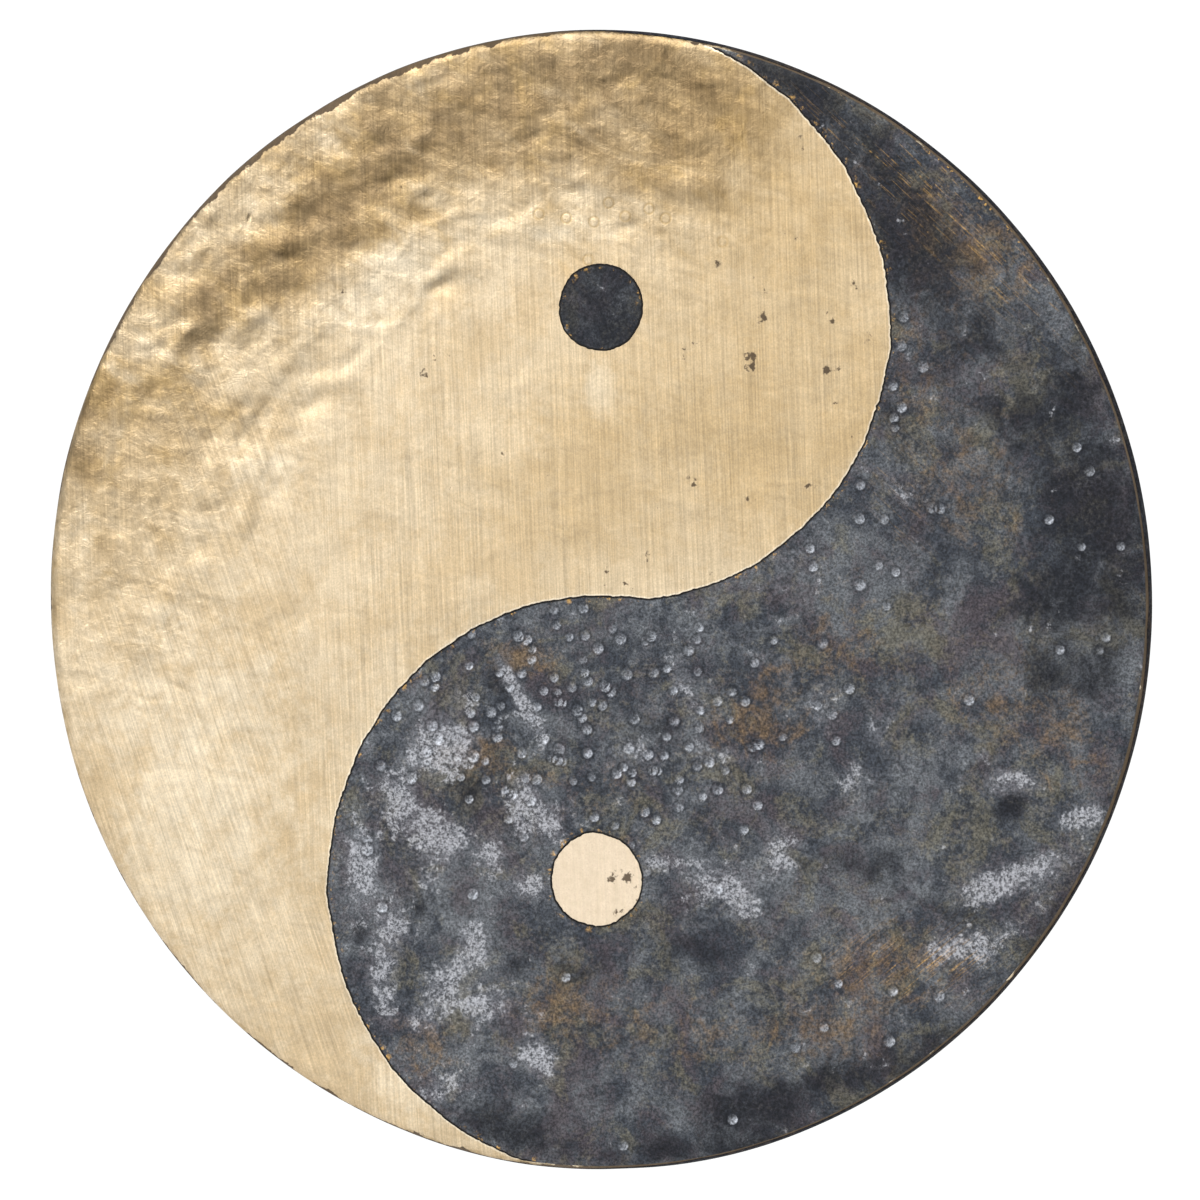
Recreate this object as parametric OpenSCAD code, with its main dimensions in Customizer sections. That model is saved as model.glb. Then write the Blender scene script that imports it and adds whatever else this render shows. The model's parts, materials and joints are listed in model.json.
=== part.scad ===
// Tam-tam gong with a yin-yang face: one wrought bronze plate with a turned-back rim and two hanging
// holes, and the black fire scale that is left on parts of it.
// It hangs upright: +Z is up, the struck face looks along -Y, and the origin is the centre of its box.

/* [Gong] */
// Outer diameter, over the scale
gong_d = 600; // [400:10:1000]
// Depth, from the crown of the face to the rim's back edge
gong_depth = 45; // [36:1:80]
// Thickness of the bronze
bronze_t = 2; // [1.2:0.1:3]
// Height of the crown above the outer edge of the face
dome_rise = 5; // [2:0.5:10]

/* [Rim] */
// Outer radius of the bend between the face and the rim
bend_r = 6; // [5:0.5:12]
// Angle by which the rim leans in towards its back edge
rim_lean = 18; // [5:1:25]

/* [Hanging holes] */
// Diameter of each hole
hole_d = 8; // [5:0.5:12]
// Straight distance between the centres of the two holes
hole_spacing = 140; // [80:5:220]
// Distance from a hole's centre to the rim's back edge, down the rim
hole_to_edge = 16; // [12:1:20]

/* [Fire scale] */
// Thickness of the scale, with the depth that scraping took off beside it
scale_t = 0.3; // [0.2:0.05:0.6]
// Width of the line where the scale is worn through, along the bend
worn_line = 1.6; // [0.4:0.1:2.4]
// Angle on the bend where the worn line starts, from the bend's widest point towards the face
worn_line_at = 31; // [5:1:40]
// Height of the bare band at the rim's back edge
bare_edge = 1.5; // [0.5:0.5:4]

/* [Yin and yang] */
// How far the bright lobe's radius passes a quarter of the gong's diameter
bright_lobe_extra = 0.5; // [0.5:0.5:4]
// Sideways shift of the bright lobe
bright_lobe_x = 11; // [0:1:16]
// How much larger the arc is that flattens the bright lobe's shoulder
shoulder_extra = 17; // [14:0.5:24]
// Place of the shoulder arc's centre, from the middle of an even lobe
shoulder_at = [-5.5, -11.5];
// How far the dark lobe's radius passes a quarter of the gong's diameter
dark_lobe_extra = 3; // [1:0.5:5]
// Sideways shift of the dark lobe
dark_lobe_x = 7.5; // [0:0.5:12]
// Diameter of the dark eye, in the bright field
dark_eye_d = 46.5; // [30:0.5:70]
// Diameter of the bright eye, in the dark field
bright_eye_d = 48; // [30:0.5:70]
// Place of each eye's centre, from the middle of an even lobe
dark_eye_at = [4, 4];
bright_eye_at = [2, 3.5];

/* [Hidden] */

$fn = 180;
// Straight steps in the section of the dome and of the bend
dome_steps = 8;
bend_steps = 12;

bronze = [0.86, 0.72, 0.48];
scale_black = [0.20, 0.20, 0.22];
scale_brown = [0.25, 0.22, 0.20];

// The section is drawn as [radius, height], with the gong lying face up on its rim's back edge.
// Every surface is an offset from the outside of the bronze: positive outwards, negative inwards.
bronze_r = gong_d / 2 - scale_t;
crown_h = gong_depth - scale_t;
bend_at_r = bronze_r - bend_r;
dome_r = (pow(bend_at_r, 2) + pow(dome_rise, 2)) / (2 * dome_rise);
dome_h = crown_h - dome_r;
bend_h = dome_h + sqrt(pow(dome_r - bend_r, 2) - pow(bend_at_r, 2));
// Angles run from the gong's radius, positive towards the face
dome_end = 90 - asin(bend_at_r / (dome_r - bend_r));
worn_angle = worn_line / bend_r * 180 / PI;
face_scale_end = worn_line_at + worn_angle;
// Directions past the middle of the face, and past the foot of the rim, as seen from the bend's centre
past_face = 190;
past_foot = -135;

// Middle of an even lobe: half way between the gong's centre and its edge
lobe_y = gong_d / 4;
// Anything longer than this reaches past the gong
beyond = gong_d;

// Radius and height of a hole's centre in the middle of the wall, and its angle from the top
hole_h = hole_to_edge * cos(rim_lean);
wall_middle_r = bend_r - bronze_t / 2;
wall_top = [bend_at_r, bend_h] + wall_middle_r * [cos(rim_lean), -sin(rim_lean)];
hole_r = wall_top[0] - (wall_top[1] - hole_h) * tan(rim_lean);
hole_angle = asin(hole_spacing / 2 / hole_r);
drill_l = 30;

function direction(angle) = [cos(angle), sin(angle)];

// Points along an arc of the section, in even steps
function arc_points(middle, radius, from, to, steps) =
    [for (i = [0:steps]) middle + radius * direction(from + (to - from) * i / steps)];

// The point where the rim's wall, at an offset, comes down to a height
function wall_foot(offset, bottom) =
    let (top = [bend_at_r, bend_h] + (bend_r + offset) * direction(-rim_lean))
    top - [tan(rim_lean), 1] * (top[1] - bottom);

// The whole surface at an offset, from the crown out over the bend and down to the foot of the rim
function surface_points(offset, bottom) = concat(
    arc_points([0, dome_h], dome_r + offset, 90, dome_end, dome_steps),
    arc_points([bend_at_r, bend_h], bend_r + offset, dome_end, -rim_lean, bend_steps),
    [wall_foot(offset, bottom)]
);

function backwards(points) = [for (i = [len(points) - 1:-1:0]) points[i]];

// Section of the layer between two offsets, down to a height
module layer_section(outer, inner, bottom = 0) {
    polygon(concat(surface_points(outer, bottom), backwards(surface_points(inner, bottom))));
}

// Everything between two directions, as seen from the bend's centre
module seen_from_bend(from, to) {
    steps = ceil((to - from) / 45);
    translate([bend_at_r, bend_h])
        polygon(concat([[0, 0]], arc_points([0, 0], 2 * beyond, from, to, steps)));
}

// Part of a layer of scale, turned into a shell all round the gong
module scale_shell(outer, inner, from, to, bottom = 0) {
    rotate_extrude()
        intersection() {
            layer_section(outer, inner, bottom);
            seen_from_bend(from, to);
        }
}

// Both holes, drilled square to the rim
module drilled() {
    difference() {
        children();
        for (side = [-1, 1])
            rotate([0, 0, 90 + side * hole_angle])
                translate([hole_r, 0, hole_h])
                    rotate([0, 90 + rim_lean, 0])
                        cylinder(d = hole_d, h = drill_l, center = true);
    }
}

// Bright part of the face, seen from the front: everything left of the S-shaped border
module bright_outline() {
    difference() {
        union() {
            translate([-beyond, -beyond]) square([beyond + dark_lobe_x, 2 * beyond]);
            intersection() {
                translate([bright_lobe_x, lobe_y]) circle(r = lobe_y + bright_lobe_extra);
                translate([0, lobe_y] + shoulder_at) circle(r = lobe_y + shoulder_extra);
            }
        }
        translate([dark_lobe_x, -lobe_y]) circle(r = lobe_y + dark_lobe_extra);
    }
}

// A round post through the face, on the middle of an eye
module eye_post(diameter, at) {
    translate([at[0], at[1], -gong_depth]) cylinder(d = diameter, h = 3 * gong_depth);
}

// Layer of scale on the front, out to the line worn through on the bend
module face_scale() {
    scale_shell(scale_t, 0, face_scale_end, past_face);
}

// Lays the finished piece from its back up to hanging, with the middle of the gong at the origin
module hung() {
    rotate([90, 0, 0]) translate([0, 0, -gong_depth / 2]) children();
}

module bronze_plate() {
    color(bronze) hung() drilled() rotate_extrude() layer_section(0, -bronze_t);
}

module yin_field_scale() {
    color(scale_black)
        hung()
            difference() {
                face_scale();
                translate([0, 0, -gong_depth]) linear_extrude(3 * gong_depth) bright_outline();
                eye_post(bright_eye_d, [0, -lobe_y] + bright_eye_at);
            }
}

module dark_eye_scale() {
    color(scale_black)
        hung()
            intersection() {
                face_scale();
                eye_post(dark_eye_d, [0, lobe_y] + dark_eye_at);
            }
}

module rim_outer_scale() {
    color(scale_black) hung() drilled() scale_shell(scale_t, 0, past_foot, worn_line_at, bare_edge);
}

module rim_inner_scale() {
    color(scale_brown)
        hung() drilled() scale_shell(-bronze_t, -bronze_t - scale_t, past_foot, dome_end, bare_edge);
}

module back_scale() {
    color(scale_brown) hung() scale_shell(-bronze_t, -bronze_t - scale_t, dome_end, past_face);
}

bronze_plate();
yin_field_scale();
dark_eye_scale();
rim_outer_scale();
rim_inner_scale();
back_scale();
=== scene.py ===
"""A hand-hammered tam-tam gong with a yin-yang face, hanging in a plain studio.

Each piece is worked the way the gong is: a flat blank is cut in millimetres as it lies face up on the bench, the
blows and the paint-like layers are laid out on it, and it is then raised into the dish and hung up in metres.
"""

import json
import logging
import math
import random
from dataclasses import dataclass, field
from enum import Enum
from functools import cached_property
from typing import NamedTuple

import bmesh
import bpy
import numpy as np
from mathutils import Matrix, Vector


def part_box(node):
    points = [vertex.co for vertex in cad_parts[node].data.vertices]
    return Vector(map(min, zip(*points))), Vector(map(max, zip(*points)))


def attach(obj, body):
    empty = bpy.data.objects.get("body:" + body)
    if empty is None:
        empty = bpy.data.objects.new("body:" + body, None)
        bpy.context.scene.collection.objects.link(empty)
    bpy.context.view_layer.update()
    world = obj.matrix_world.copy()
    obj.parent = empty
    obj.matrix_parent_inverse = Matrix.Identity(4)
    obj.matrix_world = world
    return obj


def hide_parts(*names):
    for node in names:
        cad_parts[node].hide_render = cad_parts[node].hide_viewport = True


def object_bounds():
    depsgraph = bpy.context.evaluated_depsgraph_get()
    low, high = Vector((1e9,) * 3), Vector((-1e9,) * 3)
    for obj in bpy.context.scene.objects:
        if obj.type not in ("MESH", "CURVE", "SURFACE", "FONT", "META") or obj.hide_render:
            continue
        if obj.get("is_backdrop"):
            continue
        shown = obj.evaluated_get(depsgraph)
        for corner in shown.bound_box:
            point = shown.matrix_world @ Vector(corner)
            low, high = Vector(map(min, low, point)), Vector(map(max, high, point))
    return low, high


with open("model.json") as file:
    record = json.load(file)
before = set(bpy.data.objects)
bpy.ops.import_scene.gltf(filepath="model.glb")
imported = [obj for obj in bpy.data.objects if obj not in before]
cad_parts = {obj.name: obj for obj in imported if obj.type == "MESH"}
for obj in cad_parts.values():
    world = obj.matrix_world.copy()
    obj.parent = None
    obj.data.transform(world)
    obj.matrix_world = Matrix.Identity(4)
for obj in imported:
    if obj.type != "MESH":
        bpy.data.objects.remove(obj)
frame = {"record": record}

Tone = tuple[float, float, float, float]

LOG = logging.getLogger("tam_tam_gong")
MM = 0.001
# How far a layer of scale reaches into the bronze, so that no gap shows under it
BED = 0.02
# Places nearer to each other than this are one place after a cut
MERGE = 0.004
# Edges that turn by more than this stay sharp
SHARP = math.radians(42)


class Slot(Enum):
    """The record's material slots."""

    BRONZE = "bronze"
    BLACK = "black_scale"
    BROWN = "brown_scale"


class Patch(NamedTuple):
    """A soft oval patch on the face, in millimetres from the gong's middle, turned in degrees."""

    x: float
    y: float
    long: float
    wide: float
    turn: float
    strength: float

    @property
    def heading(self) -> tuple[float, float]:
        """Cosine and sine of its turn."""
        return math.cos(math.radians(self.turn)), math.sin(math.radians(self.turn))

    def shares(self, x: np.ndarray, y: np.ndarray) -> tuple[np.ndarray, np.ndarray]:
        """Finds how far out in the patch places are.

        Args:
            x: Places across the face.
            y: Places up the face.

        Returns:
            Distances along and across the patch, as shares of its length and width.
        """
        c, s = self.heading
        along = ((x - self.x) * c + (y - self.y) * s) / self.long
        across = ((y - self.y) * c - (x - self.x) * s) / self.wide
        return along, across


def patches(*rows: tuple[float, float, float, float, float, float]) -> tuple[Patch, ...]:
    """Makes one patch from each row of numbers."""
    return tuple(Patch(*row) for row in rows)


# Patches of the dark band over the upper left shoulder: part tarnishing, part painted dim reflection.
TARNISH_AND_REFLECTION = patches(
    (12, 282, 44, 14, 0, 1), (67, 261, 25, 12, -25, 0.9), (35, 232, 16, 9, 0, 0.8), (-3, 239, 33, 13, 0, 0.6),
    (29, 248, 76, 32, 0, 0.4), (-47, 268, 28, 13, 15, 0.95), (-85, 249, 25, 15, 10, 0.85),
    (-116, 253, 11, 16, 0, 0.8), (-118, 225, 25, 12, 20, 0.9), (-145, 208, 25, 13, 35, 0.9),
    (-96, 202, 12, 6, 10, 0.85), (-134, 191, 22, 11, 0, 0.6), (-162, 184, 22, 12, 20, 0.75),
    (-185, 182, 13, 7, 0, 0.9), (-181, 164, 23, 7, 20, 0.9), (-208, 162, 22, 9, 40, 0.8), (-216, 140, 19, 8, 50, 0.7),
    (-241, 111, 17, 6, 5, 0.7), (-268, 106, 12, 11, 0, 0.8), (-282, 77, 9, 18, 0, 0.6), (-194, 99, 8, 5, 0, 0.5),
    (-161, 86, 17, 5, -15, 0.3), (-249, 74, 14, 9, 0, 0.35), (-231, 38, 20, 8, 40, 0.3), (-263, 20, 8, 8, 0, 0.35),
    (-276, -91, 7, 14, 0, 0.3), (78, 222, 33, 21, 0, 0.3), (125, 206, 25, 32, 20, 0.25), (-63, 236, 33, 16, 0, 0.5),
    (155, 143, 8, 32, 0, 0.2),
)
# Pale patches of brighter bronze; the large one low on the left is painted light that lightens the lower left of the
# face.
PALE = patches(
    (-146, 241, 25, 13, 40, 0.5), (-183, 212, 17, 8, 38, 0.4), (-227, 180, 12, 16, -40, 0.4),
    (-244, 135, 13, 16, -30, 0.4), (-123, 157, 38, 16, 10, 0.6), (3, 112, 10, 16, 0, 0.8),
    (144, 70, 13, 26, -20, 0.6), (-63, -21, 38, 9, 15, 0.5), (-216, -96, 62, 105, 0, 0.6), (-182, 67, 22, 15, 0, 0.5),
    (-101, 183, 17, 13, 20, 0.7), (-20, 197, 60, 15, 0, 0.45), (-279, 40, 10, 15, 0, 0.5),
    (-107, -253, 33, 21, -40, 0.5),
)
# Painted shade: an ochre wash that darkens the upper right and the middle of the face.
UPPER_RIGHT_SHADE = patches(
    (120, 170, 60, 110, 15, 0.75), (40, 120, 70, 60, 0, 0.55), (110, 70, 50, 60, 20, 0.6),
    (90, 250, 50, 40, -30, 0.6), (-20, 60, 90, 50, 0, 0.35), (0, 30, 60, 30, 0, 0.3),
)
SLANTED = patches(
    (-230, -60, 60, 120, -20, 1), (-170, -210, 60, 60, 0, 0.8), (-200, 100, 50, 40, 0, 0.6),
)
BLOOM = patches(
    (-82, -77, 16, 12, 0, 1), (-106, -106, 8, 12, 0, 1), (-85, -124, 15, 9, -30, 1), (-126, -143, 8, 20, 0, 1),
    (-110, -172, 8, 11, 0, 0.9), (-115, -203, 7, 14, 0, 0.9), (-66, -182, 8, 11, 0, 1), (-82, -206, 8, 14, -20, 0.9),
    (-58, -213, 11, 8, 0, 0.9), (-31, -240, 11, 8, -40, 0.9), (-80, -258, 10, 10, 0, 0.6), (-38, -105, 8, 12, 0, 0.9),
    (-23, -117, 6, 7, 0, 0.9), (-33, -151, 11, 6, 0, 0.8), (-38, -53, 24, 4, -58, 0.9), (-55, -132, 5, 11, 0, 0.6),
    (-68, -53, 9, 6, 0, 0.5), (-96, -222, 8, 5, 0, 0.6), (-90, -148, 8, 7, 0, 0.5), (33, -136, 8, 4, 0, 0.7),
    (68, -149, 10, 6, 0, 0.9), (81, -157, 8, 9, 0, 0.7), (57, -139, 23, 5, 0, 0.5), (101, -131, 8, 14, 0, 0.6),
    (141, -93, 5, 12, 0, 0.55), (155, -67, 7, 10, 40, 0.5), (217, -148, 16, 7, 20, 1), (243, -137, 17, 6, 15, 0.7),
    (269, -111, 15, 6, 0, 0.8), (228, -93, 13, 6, -10, 0.8), (193, -180, 10, 6, 0, 0.9), (209, -175, 5, 5, 0, 0.7),
    (225, -172, 33, 5, 45, 0.45), (52, -47, 5, 19, 20, 0.45), (125, -57, 8, 14, 0, 0.4), (25, -79, 15, 5, -20, 0.45),
    (65, -81, 14, 5, -5, 0.45), (106, 19, 14, 11, 0, 0.35), (169, 59, 8, 18, 50, 0.35), (-95, -27, 16, 7, 40, 0.4),
)
DEEP = patches(
    (132, 236, 46, 13, -42, 0.75), (185, 178, 16, 26, 30, 0.6), (98, 283, 26, 8, -25, 0.8),
    (190, 110, 60, 90, 0, 0.35), (266, 50, 23, 32, 0, 1), (253, 2, 20, 16, 0, 1), (245, -37, 15, 12, 0, 0.9),
    (272, -35, 8, 11, 0, 0.9), (286, 13, 11, 37, 0, 0.8), (236, 97, 15, 14, 0, 0.8), (263, 118, 11, 17, 0, 0.7),
    (111, 272, 24, 6, -35, 0.9), (154, 243, 22, 13, -40, 0.6), (168, 188, 14, 24, 0, 0.8), (212, 149, 22, 13, 0, 0.4),
    (83, -268, 25, 14, 10, 1), (127, -251, 28, 9, 15, 0.8), (51, -289, 38, 7, 0, 0.8), (-47, -279, 28, 12, -15, 0.8),
    (181, -230, 34, 11, 30, 0.5), (249, -177, 11, 22, -30, 0.7), (141, -138, 28, 8, 0, 0.7),
    (57, -184, 20, 11, 0, 0.6), (225, -106, 10, 9, 0, 0.8), (198, -164, 11, 11, 0, 0.6), (-9, -195, 16, 12, 0, 0.5),
    (30, -68, 17, 9, 0, 0.5), (-68, -100, 7, 11, 0, 0.7), (-49, -45, 8, 13, 20, 0.7), (-96, -161, 8, 7, 0, 0.7),
    (-129, -175, 5, 8, 0, 0.7), (-41, -190, 9, 8, 0, 0.6),
)
RUSSET = patches(
    (150, 225, 40, 12, -45, 0.5), (200, 185, 30, 14, -50, 0.4), (190, 90, 50, 60, 0, 0.35),
    (-68, -85, 27, 16, 0, 0.7), (-41, -32, 22, 11, 0, 0.8), (3, -100, 33, 21, 0, 0.5), (90, -62, 38, 26, 0, 0.6),
    (139, -20, 33, 26, 0, 0.5), (-20, -210, 33, 21, 0, 0.6), (57, -226, 49, 21, 0, 0.5), (155, -188, 38, 26, 0, 0.6),
    (220, -51, 33, 32, 0, 0.5), (209, 54, 33, 26, 0, 0.4), (176, 159, 22, 42, 0, 0.4), (263, -82, 22, 32, 0, 0.5),
    (-96, -237, 22, 21, 0, 0.6), (133, -230, 27, 16, 0, 0.6), (220, 191, 33, 21, -50, 0.5),
)
SCRAPED = patches(
    (175, -190, 34, 15, 0, 1), (205, 205, 60, 20, -48, 0.9), (150, 235, 36, 10, -45, 0.8), (170, 60, 20, 30, 0, 0.3),
)
PEEN_MARKS = (
    (-92, -43), (-86, -46), (-95, -56), (-88, -66), (-64, -51), (-67, -60), (-65, -67), (-52, -63), (-50, -56),
    (-45, -46), (-52, -72), (-39, -81), (-26, -73), (-18, -78), (-22, -83), (-3, -68), (-8, -58), (-19, -48),
    (-19, -53), (-11, -46), (-21, -41), (7, -45), (10, -48), (5, -55), (-4, -38), (-5, -31), (3, -25),
    (-13, -19), (-4, -18), (-20, -13), (-21, -5), (-5, -4), (11, -15), (15, -20), (-33, -26), (-33, -31),
    (-41, -19), (19, -39), (23, -62), (-59, -85), (-58, -95), (-72, -93), (-68, -105), (-90, -84), (-99, -94),
    (-34, -105), (-11, -95), (-1, -93), (21, -95), (1, -114), (12, -118), (168, 150), (167, 135), (179, 124),
    (163, 114), (167, 103), (163, 97), (164, 92), (145, 62), (145, 44), (158, 44), (184, 50), (118, 28),
    (120, 19), (155, 20), (164, 16), (261, 82), (268, 70), (285, 31), (264, 30), (187, -206), (160, -230),
    (75, -272), (15, -287), (68, -151), (253, -24), (274, -24), (29, -21), (33, -38), (40, -35), (44, -47),
    (52, -26), (57, -37), (68, -52), (76, -47), (83, -52), (74, -62), (98, -20), (40, -71), (52, -76),
    (60, -102), (68, -99), (82, -120), (35, -89), (46, -99), (30, -81), (90, -75), (57, -20), (88, -32),
)
PUNCH_RINGS = ((-30, 203), (-15, 201), (0, 199), (8, 209), (17, 202), (30, 206), (39, 201), (70, 189), (-3, 179))
LUMPS = patches(
    (-87, 257, 7, 4, 10, 0.42), (-116, 234, 5, 3, 10, 0.3), (-162, 218, 7, 3, 25, 0.25), (-214, 184, 5, 3, 40, 0.3),
    (-188, 174, 6, 3, 10, 0.22), (-222, 142, 6, 3, 10, 0.28), (-99, 200, 9, 5, 10, -0.28),
    (-76, 266, 10, 4, 10, -0.22), (-55, 276, 9, 4, 5, -0.2), (-190, 101, 6, 4, 10, -0.2),
    (-189, 200, 1.6, 1.2, 0, -0.5), (-150, 171, 14, 5, 15, 0.22), (-134, 203, 10, 4, 15, -0.2),
    (-240, 110, 9, 4, 30, -0.22), (-60, 247, 12, 5, 5, 0.2),
)


def soft_cover(x: np.ndarray, y: np.ndarray, laid: tuple[Patch, ...]) -> np.ndarray:
    """Lays soft oval patches over one another.

    Args:
        x: Places across the face, in millimetres.
        y: Places up the face, in millimetres.
        laid: The patches to lay down.

    Returns:
        How much of each place is covered, from 0 to 1.
    """
    cover = np.zeros_like(x)
    for patch in laid:
        along, across = patch.shares(x, y)
        here = patch.strength * np.exp(-0.7 * (along**2 + across**2))
        cover += here * (1 - cover)
    return cover


@dataclass(frozen=True)
class GongShape:
    """The gong's section in millimetres, lying face up on its rim's back edge.

    Every surface is an offset from the outside of the bronze, and a place on it is its run from the crown.
    """

    radius: float
    crown: float
    scale: float
    thickness: float = 2.0
    bend: float = 6.0
    rise: float = 5.0
    lean: float = math.radians(18)
    bare_edge: float = 1.5

    @classmethod
    def from_frame(cls) -> "GongShape":
        """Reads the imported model's sizes.

        Returns:
            The shape of this gong.
        """
        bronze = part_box("bronze_plate")[1]
        low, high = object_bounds()
        scale = (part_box("rim_outer_scale")[1].x - bronze.x) / MM
        return cls(radius=bronze.x / MM, crown=(high.y - low.y) / MM - scale, scale=scale)

    @cached_property
    def depth(self) -> float:
        """Depth over everything, from the crown of the scale to the rim's back edge."""
        return self.crown + self.scale

    @cached_property
    def bend_at(self) -> float:
        """Radius of the middle of the bend's arc."""
        return self.radius - self.bend

    @cached_property
    def dome_r(self) -> float:
        """Radius of the shallow dome of the face."""
        return (self.bend_at**2 + self.rise**2) / (2 * self.rise)

    @cached_property
    def bend_h(self) -> float:
        """Height of the middle of the bend's arc."""
        return self.crown - self.dome_r + math.sqrt((self.dome_r - self.bend) ** 2 - self.bend_at**2)

    @cached_property
    def dome_end(self) -> float:
        """Angle at which the dome passes into the bend, from the gong's radius."""
        return math.pi / 2 - math.asin(self.bend_at / (self.dome_r - self.bend))

    @cached_property
    def face_run(self) -> float:
        """Run over the dome, to where the bend starts."""
        return self.dome_r * (math.pi / 2 - self.dome_end)

    @cached_property
    def wall_start(self) -> float:
        """Run to where the bend ends and the rim's straight wall starts."""
        return self.face_run + self.bend * (self.dome_end + self.lean)

    @cached_property
    def wall_run(self) -> float:
        """Length of the rim's straight wall, down its outside."""
        return (self.bend_h - self.bend * math.sin(self.lean)) / math.cos(self.lean)

    @cached_property
    def foot(self) -> float:
        """Run to the rim's back edge."""
        return self.wall_start + self.wall_run

    def bend_at_angle(self, angle: float) -> float:
        """Run to a place on the bend, given by its angle from the gong's radius."""
        return self.face_run + self.bend * (self.dome_end - angle)

    def run_of(self, radius: np.ndarray) -> np.ndarray:
        """Finds the run to a place on the front from its radius as seen from the front.

        Args:
            radius: Radii in millimetres.

        Returns:
            Runs in millimetres, carried straight on beyond the middle of the bend.
        """
        middle = math.pi / 4
        limit = self.bend_at + self.bend * math.cos(middle)
        face = self.dome_r * np.arcsin(np.minimum(radius, self.bend_at) / self.dome_r)
        part = np.clip((radius - self.bend_at) / self.bend, math.cos(self.dome_end), math.cos(middle))
        bent = self.bend * (self.dome_end - np.arccos(part))
        beyond = np.maximum(radius - limit, 0) / math.sin(middle)
        return face + np.where(radius > self.bend_at, bent, 0) + beyond

    def raised(self, run: np.ndarray, offset: np.ndarray, bottom: float) -> tuple[np.ndarray, np.ndarray]:
        """Raises flat places into the dish.

        Args:
            run: Runs from the crown.
            offset: Heights above the outside of the bronze, square to it.
            bottom: Height at which the rim's wall ends.

        Returns:
            The radii and the heights of the places.
        """
        tip = np.minimum(run, self.face_run) / self.dome_r
        angle = np.maximum(math.pi / 2 - tip - np.clip(run - self.face_run, 0, None) / self.bend, -self.lean)
        on_face = run <= self.face_run
        reach = np.where(on_face, self.dome_r, self.bend) + offset
        radius = np.where(on_face, 0, self.bend_at) + reach * np.cos(angle)
        height = np.where(on_face, self.crown - self.dome_r, self.bend_h) + reach * np.sin(angle)
        share = np.clip((run - self.wall_start) / self.wall_run, 0, None)
        drop = share * (self.bend_h - (self.bend + offset) * math.sin(self.lean) - bottom)
        return radius - drop * math.tan(self.lean), height - drop


@dataclass(frozen=True)
class Lobe:
    """One arc of the border, with the small chords and the raggedness that it was scribed and scraped with."""

    x: float
    y: float
    radius: float
    seed: int
    chord: float = 0.45
    ragged: float = 0.2

    @cached_property
    def waver(self) -> tuple[np.ndarray, np.ndarray]:
        """How far the edge strays from the arc.

        Returns:
            Angles all round it in degrees, and the stray at each.
        """
        chance = np.random.default_rng(self.seed)
        count = max(14, round(self.radius * 2 * math.pi / 14))
        angles = np.linspace(0, 360, count, endpoint=False) + chance.uniform(-1, 1, count) * 90 / count
        fine = np.linspace(0, 360, count * 9, endpoint=False)
        stray = np.interp(fine, np.sort(angles), chance.normal(0, self.chord, count), period=360)
        return fine, stray + chance.normal(0, self.ragged, len(fine))

    def inside(self, x: np.ndarray, y: np.ndarray) -> np.ndarray:
        """Measures how far inside the edge places are.

        Args:
            x: Places across the face.
            y: Places up the face.

        Returns:
            Distances in millimetres, negative outside the edge.
        """
        angle = np.degrees(np.arctan2(y - self.y, x - self.x))
        stray = np.interp(angle, *self.waver, period=360)
        return self.radius + stray - np.hypot(x - self.x, y - self.y)

    def arc(self, start: float, end: float, step: float = 0.9) -> np.ndarray:
        """Walks along the edge.

        Args:
            start: Angle to start at, in degrees.
            end: Angle to end at, in degrees.
            step: Length of each step, in millimetres.

        Returns:
            The places walked over, as an array of x and y.
        """
        turns = np.linspace(start, end, max(8, round(abs(end - start) * math.pi / 180 * self.radius / step)))
        reach = self.radius + np.interp(turns, *self.waver, period=360)
        around = np.radians(turns)
        return np.stack([self.x + reach * np.cos(around), self.y + reach * np.sin(around)], axis=1)


@dataclass(frozen=True)
class Border:
    """The S-shaped border between the bright and the dark part of the face, and the two eyes."""

    bright: Lobe
    shoulder: Lobe
    dark: Lobe
    dark_eye: Lobe
    bright_eye: Lobe

    @classmethod
    def marked_out(cls, shape: GongShape) -> "Border":
        """Marks the border out on this gong.

        Args:
            shape: The gong's section.

        Returns:
            The border with its two eyes.
        """
        half = (shape.radius + shape.scale) / 2
        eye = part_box("dark_eye_scale")
        middle = (eye[0] + eye[1]) / 2 / MM
        return cls(
            bright=Lobe(11, half, half + 0.5, 3),
            shoulder=Lobe(-5.5, half - 11.5, half + 17, 5),
            dark=Lobe(7.5, -half, half + 3, 7),
            dark_eye=Lobe(middle.x, middle.z, (eye[1].x - eye[0].x) / 2 / MM, 11, 0.35, 0.14),
            bright_eye=Lobe(2, 3.5 - half, 24.0, 13, 0.4, 0.16),
        )

    def into_dark(self, x: np.ndarray, y: np.ndarray) -> np.ndarray:
        """Measures how far from the border places are.

        Args:
            x: Places across the face.
            y: Places up the face.

        Returns:
            Distances in millimetres, positive in the dark part.
        """
        lens = np.minimum(self.bright.inside(x, y), self.shoulder.inside(x, y))
        left = np.maximum(lens, self.dark.x - x)
        return -np.minimum(left, -self.dark.inside(x, y))

    def line(self) -> np.ndarray:
        """Walks along the border from the top of the gong to its bottom.

        Returns:
            The places walked over, as an array of x and y.
        """
        parts = (self.bright.arc(86, 58), self.shoulder.arc(72, -12), self.bright.arc(12, -88),
                 self.dark.arc(80, 271))
        return np.concatenate([part[np.abs(self.into_dark(part[:, 0], part[:, 1])) < 0.02] for part in parts])


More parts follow.
